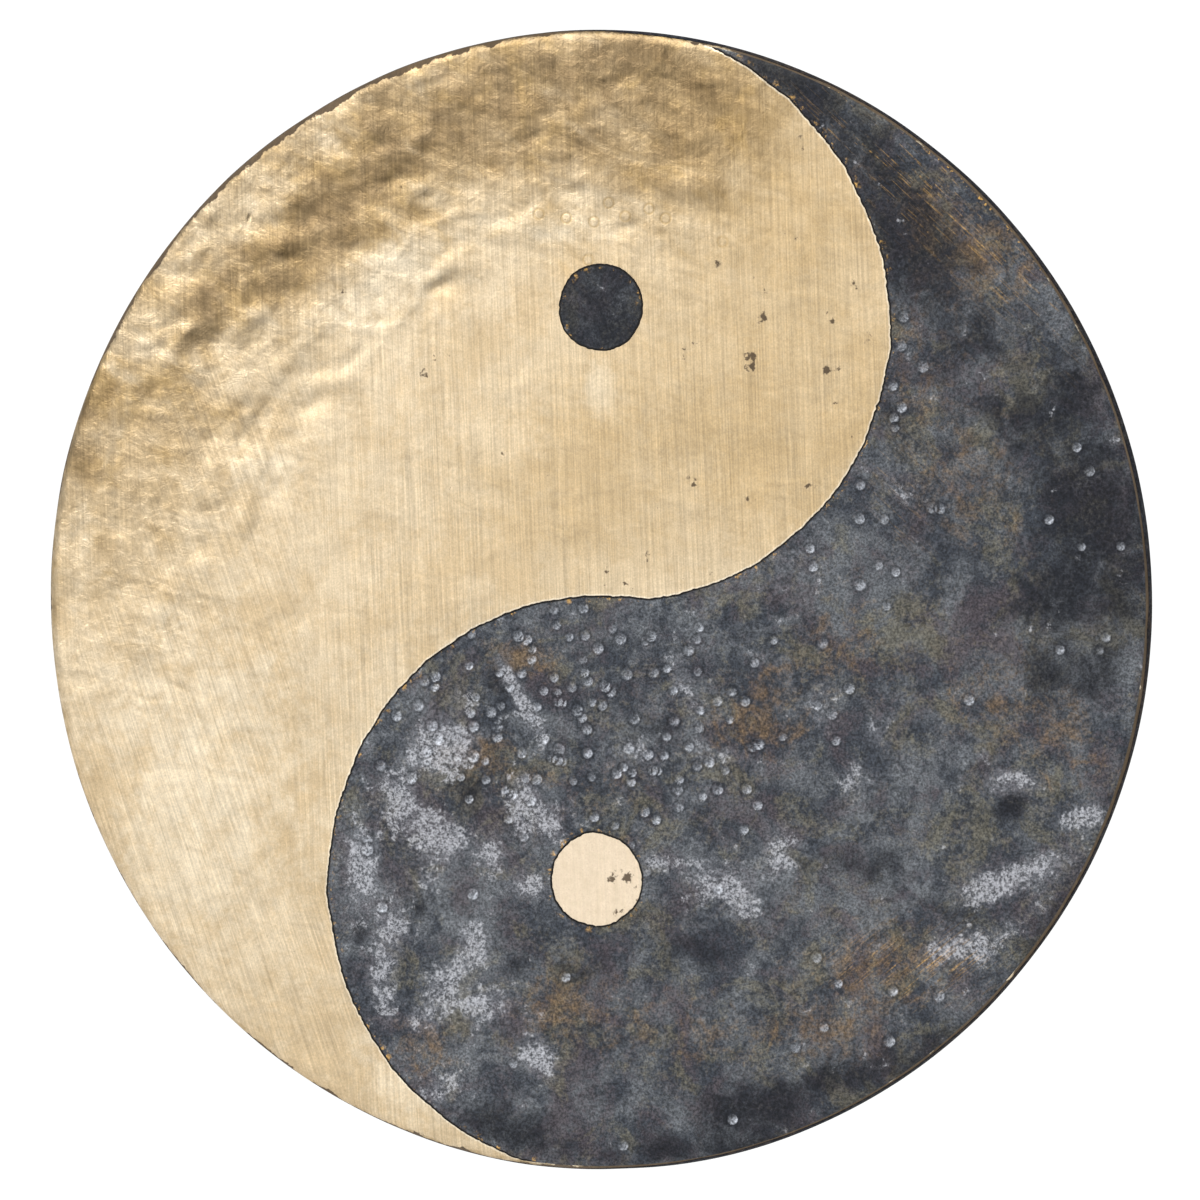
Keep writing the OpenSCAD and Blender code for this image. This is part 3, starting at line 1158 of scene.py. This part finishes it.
@dataclass(frozen=True)
class FireScale:
    """Black or brown scale from the fire, with bloom, russet stains, bright wear, and painted highlights and shade
    rings at its peen marks.
    """

    name: str
    ground: Tone = tone(49, 53, 60)
    lifted: Tone = tone(91, 94, 98)
    violet: Tone = tone(66, 58, 62)
    russet: Tone = tone(104, 84, 60)
    olive: Tone = tone(92, 88, 74)
    black: Tone = tone(19, 21, 28)
    haze: Tone = tone(116, 117, 122)
    bloom: Tone = tone(158, 159, 164)
    # Light grey of the burnished peen marks, which also paints their highlights.
    mark_wear_and_light: Tone = tone(178, 182, 190)
    gold: Tone = tone(206, 160, 84)
    line: Tone = tone(14, 12, 11)
    on_face: bool = True

    def material(self) -> bpy.types.Material:
        """Mixes the finish.

        Returns:
            The material, which reads the layers laid out on the scale.
        """
        mix = Recipe(self.name)
        broad, soft = mix.clouds(46, 5, 0.6, 0.5), mix.clouds(13, 6, 0.62, 0.6)
        fine, grit = mix.clouds(2.6, 4, 0.7), mix.clouds(1.25, 2, 0.7)

        mix.colour = mix.blend(mix.ruffled(soft, (broad, 1.1), (fine, 0.25), low=0.32, high=0.74),
                               self.ground, self.lifted)
        mix.paint(mix.ruffled(mix.clouds(34, 6, 0.6, 1.0), (fine, 0.5), low=0.44, high=0.68), self.violet, 0.7)
        mix.paint(mix.ruffled(mix.clouds(27, 6, 0.62, 0.8), (fine, 0.4), low=0.5, high=0.68), self.olive, 0.65)
        stain = mix.ruffled(mix.layer("russet"), (mix.clouds(15, 7, 0.68, 0.9), 1.7), (fine, 0.8),
                            low=0.35, high=0.95)
        mix.paint(stain, self.russet, 0.75)
        deep = mix.ruffled(mix.layer("deep"), (mix.clouds(19, 7, 0.7, 0.9), 2.0), (fine, 0.8), low=0.16, high=0.85)
        mix.paint(deep, self.black, mix.span(mix.step(fine, 0.3, 0.7), 0.95, 0.72))
        if self.on_face:
            self.bloomed(mix, soft, fine, grit)
            self.scratched(mix)
            self.peened(mix, grit)
        mix.darken(mix.times(mix.span(mix.step(grit, 0.3, 0.7), 0.5, 1.52),
                             mix.span(mix.step(fine, 0.3, 0.7), 0.76, 1.26)))
        flecks = mix.ruffled(mix.layer("worn"), (mix.clouds(3.4, 5, 0.7), 2.4), (grit, 0.9), low=1.25, high=1.45)
        mix.paint(flecks, self.gold, 0.85)
        mix.give("Base Color", mix.colour)
        mix.give("Metallic", 0.0)
        mix.give("Specular IOR Level", 0.16)
        mix.give("Roughness", mix.span(soft, 0.34, 0.6) if self.on_face else mix.span(soft, 0.7, 0.9))
        mix.bump((soft, 0.2), (fine, 0.1), (grit, 0.03))
        return mix.material

    def bloomed(self, mix: Recipe, soft: bpy.types.NodeSocket, fine: bpy.types.NodeSocket,
                grit: bpy.types.NodeSocket) -> None:
        """Lays the grey bloom over the finish so far.

        Args:
            mix: The recipe being mixed.
            soft: Soft noise.
            fine: Fine noise.
            grit: Finest noise.
        """
        bloom = mix.layer("bloom")
        mix.paint(mix.ruffled(bloom, (mix.clouds(20, 6, 0.62, 0.7), 1.0), (fine, 0.5), low=0.06, high=0.7),
                  self.haze, 0.4)
        cloud = mix.ruffled(bloom, (soft, 2.2), (mix.clouds(6, 5, 0.68, 0.5), 1.5), (fine, 0.8),
                            low=0.4, high=0.72)
        salt = mix.ruffled(grit, (fine, 1.2), low=0.3, high=0.56)
        mix.paint(cloud, self.bloom, mix.span(salt, 0.05, 0.56))

    def scratched(self, mix: Recipe) -> None:
        """Lays broken scratches over the finish so far, which lean one way low on the face and the other way high.

        Args:
            mix: The recipe being mixed.
        """
        low, high = (mix.clouds(0, 3, 0.7, room=mix.stretched((42, 30, 0.8), turn)) for turn in (-38, 42))
        broken = mix.step(mix.clouds(7, 4, 0.65), 0.42, 0.56)
        scraped = mix.layer("scraped")
        on_low, on_high = (mix.sum("MAXIMUM", share, 0.0) for share in (scraped, mix.times(scraped, -1.0)))
        lines = mix.sum("ADD", mix.times(mix.step(low, 0.54, 0.64), on_low),
                        mix.times(mix.step(high, 0.55, 0.66), on_high))
        mix.paint(mix.times(lines, broken), self.gold, 0.42)

    def peened(self, mix: Recipe, grit: bpy.types.NodeSocket) -> None:
        """Lays the burnished peen marks, with painted highlights on their lower right and painted shade rings round
        them, and the black line along the border, part burnt edge of the scale and part painted crevice shade, over
        the finish so far.

        Args:
            mix: The recipe being mixed.
            grit: Finest noise.
        """
        mark_wear_and_light, border = mix.layer("mark_wear_and_light"), mix.layer("border")
        # Burnished grey with a painted highlight where the layer is above 0, and painted black shade rings where it
        # is below 0.
        mix.paint(mix.times(mark_wear_and_light, mix.span(grit, 0.2, 1.1)), self.mark_wear_and_light, clamp=True)
        mix.paint(mark_wear_and_light, self.black, -0.8, clamp=True)
        ember = mix.times(mix.step(border, 5.0, 0.6), mix.step(mix.clouds(4, 4, 0.7), 0.56, 0.66))
        mix.paint(ember, self.gold, 0.7)
        # Black line along the border: part burnt edge of the scale, part painted crevice shade.
        mix.paint(mix.step(border, 1.5, 0.7), self.line)


@dataclass
class Bench:
    """What every piece of the gong shares: the shape, the border, the blows and the hanging holes."""

    shape: GongShape
    border: Border
    work: HammerWork
    holes: list[tuple[float, float, float]]
    deburr: float = 0.7
    past_rim: float = 303.0

    @classmethod
    def for_frame(cls) -> "Bench":
        """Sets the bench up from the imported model.

        Returns:
            The bench.
        """
        shape = GongShape.from_frame()
        holes = []
        for mount in frame["record"]["mounts"]:
            if mount["kind"] == "bore":
                x, y, z = (v / MM for v in mount["pos_m"])
                height = shape.depth / 2 - y
                share = 1 - height / (shape.wall_run * math.cos(shape.lean))
                holes.append((math.atan2(z, x), shape.wall_start + shape.wall_run * share, mount["dims"]["r_mm"]))
        return cls(shape, Border.marked_out(shape), HammerWork(), holes)

    def drills(self) -> list[tuple[bpy.types.Object, str]]:
        """Turns a drill with deburring shoulders for each hanging hole, laid out for the flat blank.

        Returns:
            The solids to take away, each as a cutter.
        """
        made = []
        for around, run, radius in self.holes:
            bm, wide = bmesh.new(), radius + self.deburr
            rings = [(wide, 1.5), (wide, 0.65), (radius, 0.05), (radius, -2.05), (wide, -2.65), (wide, -3.5)]
            bmesh.ops.create_circle(bm, cap_ends=False, segments=48, radius=rings[0][0])
            bmesh.ops.translate(bm, verts=bm.verts, vec=(0, 0, rings[0][1]))
            edges, last = list(bm.edges), rings[0]
            for ring in rings[1:]:
                verts, edges = extruded(bm, edges)
                bmesh.ops.scale(bm, verts=verts, vec=(ring[0] / last[0], ring[0] / last[0], 1))
                bmesh.ops.translate(bm, verts=verts, vec=(0, 0, ring[1] - last[1]))
                last = ring
            bmesh.ops.recalc_face_normals(bm, faces=bm.faces)
            true_r = float(self.shape.raised(np.array([run]), np.array([0.0]), 0.0)[0][0])
            bmesh.ops.scale(bm, verts=bm.verts, vec=(1, run / true_r, 1))
            on_wall = Matrix.Rotation(around, 4, "Z") @ Matrix.Translation((run, 0, 0))
            bmesh.ops.transform(bm, verts=bm.verts, matrix=on_wall)
            made.append((closed_solid(bm, "drill"), "DIFFERENCE"))
        return made

    def outline_cutter(self, points: np.ndarray, low: float, high: float, draft: float) -> bpy.types.Object:
        """Makes the solid inside a closed line, for cutting a layer of scale.

        Args:
            points: The line's x and y as seen from the front.
            low: Height of its floor.
            high: Height of its top.
            draft: How far its wall leans in over the scale's thickness.

        Returns:
            The solid, laid out for the flat blank.
        """
        radius = np.hypot(points[:, 0], points[:, 1])
        flat = points * (np.where(radius > self.past_rim, radius, self.shape.run_of(radius)) / radius)[:, None]
        tangent = np.roll(flat, -2, axis=0) - np.roll(flat, 2, axis=0)
        inward = np.stack([-tangent[:, 1], tangent[:, 0]], axis=1)
        inward = inward / np.hypot(tangent[:, 0], tangent[:, 1])[:, None]
        bm = bmesh.new()
        order = bm.verts.layers.int.new("order")
        first = last = bm.verts.new((*flat[0], low))
        for number, place in enumerate(flat[1:], 1):
            last = bmesh.ops.extrude_vert_indiv(bm, verts=[last])["verts"][0]
            last.co = (*place, low)
            last[order] = number
        bm.edges.new((last, first))
        edges = list(bm.edges)
        for height, lean in ((self.shape.scale * 0.1, 0.0), (self.shape.scale, draft), (high, draft)):
            verts, edges = extruded(bm, edges)
            for vert in verts:
                vert.co = (*(flat[vert[order]] + inward[vert[order]] * lean), height)
        return closed_solid(bm, "outline")


@dataclass
class Piece:
    """One piece of the gong, from flat blank to hung and dressed."""

    bench: Bench
    name: str
    node: str
    slot: Slot
    top: float
    bottom: float
    foot: float = 0.0
    marked: bool = False

    def blank(self) -> Sheet:
        """Cuts the flat blank. Each kind of piece has its own way."""
        raise NotImplementedError

    def layers(self, x: np.ndarray, y: np.ndarray) -> dict[str, np.ndarray]:
        """Lays out on the blank what the finish reads. Each kind of piece has its own layers."""
        raise NotImplementedError

    def made(self, material: bpy.types.Material) -> bpy.types.Object:
        """Cuts, lays out, raises, hangs and dresses the piece.

        Args:
            material: Its finish.

        Returns:
            The finished object.
        """
        sheet = self.blank()
        mesh = bpy.data.meshes.new(self.name)
        bmesh.ops.recalc_face_normals(sheet.bm, faces=list(sheet.bm.faces))
        sheet.bm.to_mesh(mesh)
        sheet.bm.free()
        flat = np.empty(len(mesh.vertices) * 3, np.float64)
        mesh.vertices.foreach_get("co", flat)
        flat = flat.reshape(-1, 3)
        for layer, values in self.layers(flat[:, 0], flat[:, 1]).items():
            mesh.attributes.new(layer, "FLOAT", "POINT").data.foreach_set("value", values.astype(np.float32))
        mesh.vertices.foreach_set("co", self.hung(flat).astype(np.float32).ravel())
        mesh.update()
        for face in mesh.polygons:
            face.use_smooth = True
        mesh.set_sharp_from_angle(angle=SHARP)
        piece = put(self.name, mesh)
        mesh.materials.append(material)
        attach(piece, "root")
        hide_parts(self.node)
        LOG.info("%s: %d faces, stands for %s", self.name, len(mesh.polygons), self.node)
        return piece

    def hung(self, flat: np.ndarray) -> np.ndarray:
        """Raises the flat blank into the dish and hangs it up.

        Args:
            flat: Places on the blank, in millimetres.

        Returns:
            Places on the hung gong, in metres.
        """
        shape, work = self.bench.shape, self.bench.work
        x, y, offset = flat[:, 0], flat[:, 1], flat[:, 2]
        run, around = np.hypot(x, y), np.arctan2(y, x)
        fade = np.clip((shape.foot - run) / 12, 0, 1)
        heave = work.heave(x, y) * (0.35 + 0.65 * fade) - work.ring_depth * work.punched(x, y)
        if self.marked:
            heave = heave + work.peened(x, y)[0] * (offset > (self.top + self.bottom) / 2)
        radius, height = shape.raised(run, offset + heave, self.foot)
        return np.stack([radius * np.cos(around), shape.depth / 2 - height, radius * np.sin(around)], axis=1) * MM


@dataclass
class BronzePlate(Piece):
    """The one wrought plate that the gong is: face, bend and turned-back rim."""

    cells: int = 150
    foot_round: float = 0.35

    def blank(self) -> Sheet:
        """Cuts the plate's disc, thickens it, drills it and refines it where it is worked finely.

        Returns:
            The blank.
        """
        shape, work = self.bench.shape, self.bench.work
        sheet = Sheet(self.top, self.bottom)
        sheet.cut_disc(self.cells, shape.face_run)
        bend = np.linspace(shape.face_run, shape.wall_start, 12)[1:]
        wall = np.linspace(shape.wall_start, shape.foot, 9)[1:]
        sheet.widen([*bend, *wall])
        sheet.thicken()
        foot = [e for e in sheet.bm.edges if all(abs(v.co.xy.length - shape.foot) < 0.01 for v in e.verts)
                and abs(e.verts[0].co.z - e.verts[1].co.z) < 0.01]
        bmesh.ops.bevel(sheet.bm, geom=foot, offset=self.foot_round, segments=2, profile=0.5, affect="EDGES",
                        material=-1)
        sheet.cut_with(*self.bench.drills())
        sheet.refine([(x, y, 6.5) for x, y in PUNCH_RINGS], 3)
        sheet.refine([(p.x, p.y, p.long + 3) for p in (*LUMPS, *work.hard_blows)], 1)
        sheet.refine([(x, y, 3.5) for x, y in self.bench.border.line()[::4]], 1)
        return sheet

    def layers(self, x: np.ndarray, y: np.ndarray) -> dict[str, np.ndarray]:
        """Lays out on the plate the band of tarnishing and painted dim reflection, the painted shade and light, the
        border, the eye and the worn edge.

        Args:
            x: Places across the flat blank.
            y: Places up the flat blank.

        Returns:
            Each layer's values under its name.
        """
        shape, border, work = self.bench.shape, self.bench.border, self.bench.work
        run, around = np.hypot(x, y), np.degrees(np.arctan2(y, x))
        turns = [0, 70, 82, 96, 105, 138, 150, 165, 180, 190, 208, 225, 255, 264, 274, 360]
        kept = [0.34, 0.34, 0.85, 0.8, 0.42, 0.38, 0.55, 0.8, 0.95, 1.1, 0.9, 0.76, 0.8, 0.7, 0.34, 0.34]
        past = np.clip((run - shape.face_run) / 7.5, 0, 1.2)
        shoulder = np.interp(around % 360, [62, 80, 160, 186, 200], [0, 1, 1, 0.55, 0])
        driven = np.clip((run - 150) / 95, 0, 1) * shoulder
        return {
            "tarnish_and_reflection": soft_cover(x, y, TARNISH_AND_REFLECTION) * 0.72 + 0.5 * driven,
            "pale": soft_cover(x, y, PALE),
            "slanted": soft_cover(x, y, SLANTED),
            "upper_right_shade": soft_cover(x, y, UPPER_RIGHT_SHADE),
            "driven": driven,
            "painted_blow_light": work.painted_blow_light(x, y),
            "ring": work.punched(x, y),
            "border": border.into_dark(x, y),
            "eye": border.bright_eye.inside(x, y),
            "past_edge": past,
            "over_edge": past - np.interp(around % 360, turns, kept),
        }


@dataclass
class FaceScale(Piece):
    """Scale on the face: what the yin field and the dark eye share."""

    cells: int = 150
    marked: bool = True
    soot: float = 0.0

    def layers(self, x: np.ndarray, y: np.ndarray) -> dict[str, np.ndarray]:
        """Lays bloom, stains, marks with their burnish and painted light and shade, and wear out on the scale.

        Args:
            x: Places across the flat blank.
            y: Places up the flat blank.

        Returns:
            Each layer's values under its name.
        """
        near_edge = np.clip((np.hypot(x, y) - self.bench.shape.face_run + 3) / 9, 0, 1)
        streak = soft_cover(x, y, SCRAPED)
        return {
            "bloom": soft_cover(x, y, BLOOM),
            "deep": np.maximum(soft_cover(x, y, DEEP), self.soot),
            "russet": soft_cover(x, y, RUSSET),
            "scraped": streak * np.where(y > 0, -1, 1),
            "mark_wear_and_light": self.bench.work.peened(x, y)[1],
            "border": self.inside(x, y),
            "worn": near_edge + 0.45 * streak,
        }

    def inside(self, x: np.ndarray, y: np.ndarray) -> np.ndarray:
        """Measures how far inside the layer's edge places are. Each kind of layer has its own edge."""
        raise NotImplementedError


@dataclass
class YinField(FaceScale):
    """The dark half of the face."""

    edge_angle: float = math.radians(47.5)
    floor: float = -1.0
    ceiling: float = 1.5
    draft: float = 0.3
    outside: float = 340.0

    def blank(self) -> Sheet:
        """Cuts the layer along the border and round the bright eye, and refines it at the peen marks.

        Returns:
            The blank.
        """
        shape, border = self.bench.shape, self.bench.border
        sheet = Sheet(self.top, self.bottom)
        sheet.cut_disc(self.cells, shape.face_run)
        sheet.widen(list(np.linspace(shape.face_run, shape.bend_at_angle(self.edge_angle), 6)[1:]))
        sheet.thicken()
        turns = np.radians(np.linspace(-87, 86, 60))
        around = np.stack([self.outside * np.cos(turns), self.outside * np.sin(turns)], axis=1)
        line = np.concatenate([border.line(), around])
        outline = self.bench.outline_cutter(line, self.floor, self.ceiling, self.draft)
        eye = self.bench.outline_cutter(border.bright_eye.arc(0, 359.5), self.floor, self.ceiling, -self.draft)
        sheet.cut_with((outline, "INTERSECT"), (eye, "DIFFERENCE"))
        sheet.refine([(x, y, radius + 2.2) for x, y, radius, _, _ in self.bench.work.marks], 4)
        return sheet

    def inside(self, x: np.ndarray, y: np.ndarray) -> np.ndarray:
        """Measures how far from the border or the bright eye places are.

        Args:
            x: Places across the face.
            y: Places up the face.

        Returns:
            Distances in millimetres, positive in the scale.
        """
        return np.minimum(self.bench.border.into_dark(x, y), -self.bench.border.bright_eye.inside(x, y))


@dataclass
class DarkEye(FaceScale):
    """The round island of scale in the bright half."""

    cells: int = 34
    soot: float = 0.72

    def blank(self) -> Sheet:
        """Cuts the small disc with its ragged edge.

        Returns:
            The blank.
        """
        eye = self.bench.border.dark_eye
        sheet = Sheet(self.top, self.bottom)
        sheet.cut_disc(self.cells, 1.0)
        sheet.thicken()
        for vert in sheet.bm.verts:
            x, y = vert.co.x, vert.co.y
            share = math.hypot(x, y)
            turn = math.degrees(math.atan2(y, x))
            reach = eye.radius + float(np.interp(turn, *eye.waver, period=360)) * share**6
            draft = 0.3 * share**8 if vert.co.z > 0.1 else 0
            vert.co.x, vert.co.y = eye.x + x * (reach - draft), eye.y + y * (reach - draft)
        return sheet

    def inside(self, x: np.ndarray, y: np.ndarray) -> np.ndarray:
        """Measures how far inside the eye's edge places are."""
        return self.bench.border.dark_eye.inside(x, y)


@dataclass
class RimScale(Piece):
    """A band of scale round the rim, outside or inside."""

    start: float = 0.0
    rings: int = 14
    wander: float = 0.0
    segments: int = 600

    def blank(self) -> Sheet:
        """Cuts the band, lets its worn edge wander, and drills it.

        Returns:
            The blank.
        """
        shape = self.bench.shape
        sheet = Sheet(self.top, self.bottom)
        runs = [*np.linspace(self.start, shape.wall_start, self.rings),
                *np.linspace(shape.wall_start, shape.foot, 9)[1:]]
        sheet.cut_ring(self.segments, runs[0])
        sheet.widen([float(r) for r in runs[1:]])
        sheet.thicken()
        if self.wander:
            self.wear_edge(sheet)
        sheet.cut_with(*self.bench.drills())
        return sheet

    def wear_edge(self, sheet: Sheet) -> None:
        """Lets the edge on the bend wander, worn back more where the gong is handled.

        Args:
            sheet: The blank.
        """
        shape, chance = self.bench.shape, np.random.default_rng(17)
        angles = np.linspace(0, 360, 150, endpoint=False)
        ragged = chance.normal(0, 0.22, 150)
        ragged += 0.5 * np.interp(angles, np.linspace(0, 360, 31), chance.normal(0, 0.7, 31))
        back = np.interp(angles, [0, 86, 97, 185, 262, 275, 360], [0, 0, 4.2, 4.2, 3.8, 0.3, 0])
        for vert in sheet.bm.verts:
            run, turn = vert.co.xy.length, math.degrees(math.atan2(vert.co.y, vert.co.x)) % 360
            share = max(0.0, 1 - (run - self.start) / (shape.wall_start - self.start))
            shift = float(np.interp(turn, angles, ragged + back, period=360)) * self.wander * share
            vert.co.xy = vert.co.xy * ((run + shift) / run)

    def layers(self, x: np.ndarray, y: np.ndarray) -> dict[str, np.ndarray]:
        """Lays stains and wear out on the band.

        Args:
            x: Places across the flat blank.
            y: Places up the flat blank.

        Returns:
            Each layer's values under its name.
        """
        shape = self.bench.shape
        run, around = np.hypot(x, y), np.arctan2(y, x)
        wave = 0.5 + 0.5 * np.sin(3 * around + 1) * np.sin(7 * around)
        near = np.clip(1 - (run - self.start) / 5, 0, 1) + np.clip(1 - (shape.foot - run) / 5, 0, 1)
        on_bend = np.clip(2 - (run - self.start) / 6, 0, 1) if self.wander else 0
        return {"deep": np.maximum(0.45 * wave, on_bend), "russet": 0.3 + 0.5 * (1 - wave), "worn": 0.62 * near}


@dataclass
class BackScale(Piece):
    """The brown scale over the whole back of the face."""

    cells: int = 110

    def blank(self) -> Sheet:
        """Cuts the disc.

        Returns:
            The blank.
        """
        sheet = Sheet(self.top, self.bottom)
        sheet.cut_disc(self.cells, self.bench.shape.face_run)
        sheet.thicken()
        return sheet

    def layers(self, x: np.ndarray, y: np.ndarray) -> dict[str, np.ndarray]:
        """Lays stains out in the faint, uneven rings that the fire left.

        Args:
            x: Places across the flat blank.
            y: Places up the flat blank.

        Returns:
            Each layer's values under its name.
        """
        run, around = np.hypot(x + 30, y - 18), np.arctan2(y, x)
        rings = 0.5 + 0.5 * np.sin(run / 21 + 0.9 * np.sin(2 * around))
        return {"deep": 0.3 + 0.16 * rings, "russet": 0.42 + 0.2 * (1 - rings), "worn": np.zeros_like(x)}


@dataclass(frozen=True)
class Studio:
    """A plain pale floor, a white room and soft lights."""

    floor_z: float = -0.75
    floor_half: float = 170.0
    room_light: float = 0.62
    window_power: float = 42.0
    sky_power: float = 2.5

    def build(self) -> None:
        """Lays the floor, sets the room's light, hangs the softbox and adds the sky light."""
        bm = bmesh.new()
        bmesh.ops.create_grid(bm, x_segments=2, y_segments=2, size=self.floor_half)
        bmesh.ops.translate(bm, verts=bm.verts, vec=(0, 0, self.floor_z))
        floor = solid_from(bm, "studio_floor")
        mix = Recipe("floor_paint")
        mix.give("Base Color", mix.blend(mix.clouds(900, 3), tone(236, 236, 235), tone(240, 240, 239)))
        mix.give("Roughness", 0.9)
        mix.give("Specular IOR Level", 0.2)
        floor.data.materials.append(mix.material)
        floor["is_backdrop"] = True
        self.light_room()
        self.softbox("window_light", (-1.9, -4.2, 1.5), (3.4, 2.4), self.window_power)
        self.sky()
        LOG.info("studio: floor, room and lights")

    def light_room(self) -> None:
        """Makes the room white to the eye and a little dimmer as a light."""
        world = bpy.data.worlds.new("white_room")
        bpy.context.scene.world = world
        world.use_nodes = True
        tree = world.node_tree
        tree.nodes.clear()
        seen, lit, path, mix, output = (tree.nodes.new("ShaderNode" + kind) for kind in (
            "Background", "Background", "LightPath", "MixShader", "OutputWorld"))
        for node, colour, strength in ((seen, (1, 1, 1, 1), 1.0), (lit, (0.97, 0.985, 1.0, 1), self.room_light)):
            node.inputs["Color"].default_value = colour
            node.inputs["Strength"].default_value = strength
        tree.links.new(path.outputs["Is Camera Ray"], mix.inputs[0])
        tree.links.new(lit.outputs[0], mix.inputs[1])
        tree.links.new(seen.outputs[0], mix.inputs[2])
        tree.links.new(mix.outputs[0], output.inputs[0])

    def softbox(self, name: str, at: tuple[float, float, float], size: tuple[float, float], power: float) -> None:
        """Hangs a softbox that faces the gong.

        Args:
            name: Its name.
            at: Its place, in metres.
            size: Its width and height.
            power: Its power in watts.
        """
        lamp = bpy.data.lights.new(name, "AREA")
        lamp.shape, lamp.size, lamp.size_y, lamp.energy = "RECTANGLE", *size, power
        box = put(name, lamp)
        box.location = at
        box.rotation_euler = (-Vector(at)).to_track_quat("-Z", "Y").to_euler()

    def sky(self) -> None:
        """Adds the wide light from above that keeps the floor white."""
        lamp = bpy.data.lights.new("sky_light", "SUN")
        lamp.energy, lamp.angle = self.sky_power, math.radians(60)
        sun = put("sky_light", lamp)
        sun.rotation_euler = Vector((0.25, 0.5, -0.85)).to_track_quat("-Z", "Y").to_euler()


@dataclass(frozen=True)
class Camera:
    """A very long lens, a little to the right of the gong and just above its middle."""

    azimuth: float = 15.3
    elevation: float = 1.7
    distance: float = 14.0
    width: float = 0.631
    sensor: float = 36.0
    aim_x: float = 0.0010
    aim_y: float = -0.0112

    def place(self, middle: Vector) -> None:
        """Sets the camera up and makes it the scene's.

        Args:
            middle: The middle of the gong's box, in metres.
        """
        aim = middle + Vector((self.aim_x, self.aim_y, 0))
        lens = bpy.data.cameras.new("camera")
        lens.sensor_width = self.sensor
        lens.lens = self.sensor * self.distance / self.width
        lens.clip_start, lens.clip_end = 0.1, 600
        camera = put("camera", lens)
        a, e = math.radians(self.azimuth), math.radians(self.elevation)
        back = Vector((math.sin(a) * math.cos(e), -math.cos(a) * math.cos(e), math.sin(e)))
        camera.location = aim + back * self.distance
        camera.rotation_euler = (-back).to_track_quat("-Z", "Y").to_euler()
        bpy.context.scene.camera = camera
        LOG.info("camera: lens %.0f mm", lens.lens)


def main() -> None:
    """Builds the gong piece by piece, then the studio and the camera, aimed at the middle of the imported model's
    box.
    """
    logging.basicConfig(level=logging.INFO, format="%(name)s %(message)s")
    cad_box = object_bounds()
    bpy.context.scene.view_settings.view_transform = "Standard"
    bench = Bench.for_frame()
    shape = bench.shape
    black = FireScale("black_scale").material()
    rim_black = FireScale("rim_scale", on_face=False).material()
    brown = FireScale("brown_scale", ground=tone(50, 44, 38), lifted=tone(82, 72, 60), russet=tone(104, 76, 46),
                      on_face=False).material()
    inner = -shape.thickness
    outside, inside = (shape.scale, -BED), (inner + BED, inner - shape.scale)
    worn_line = shape.bend_at_angle(math.radians(31))
    BronzePlate(bench, "plate", "bronze_plate", Slot.BRONZE, 0.0, inner).made(BrushedBronze().material())
    YinField(bench, "yin_field", "yin_field_scale", Slot.BLACK, *outside).made(black)
    DarkEye(bench, "dark_eye", "dark_eye_scale", Slot.BLACK, *outside).made(black)
    RimScale(bench, "rim_outside", "rim_outer_scale", Slot.BLACK, *outside, shape.bare_edge,
             start=worn_line, wander=1.0).made(rim_black)
    RimScale(bench, "rim_inside", "rim_inner_scale", Slot.BROWN, *inside, shape.bare_edge,
             start=shape.face_run).made(brown)
    BackScale(bench, "back_of_face", "back_scale", Slot.BROWN, *inside).made(brown)
    Studio().build()
    low, high = cad_box
    Camera().place(Vector((0, (low.y + high.y) / 2, 0)))
    bpy.context.view_layer.update()


if __name__ == "__main__":
    main()
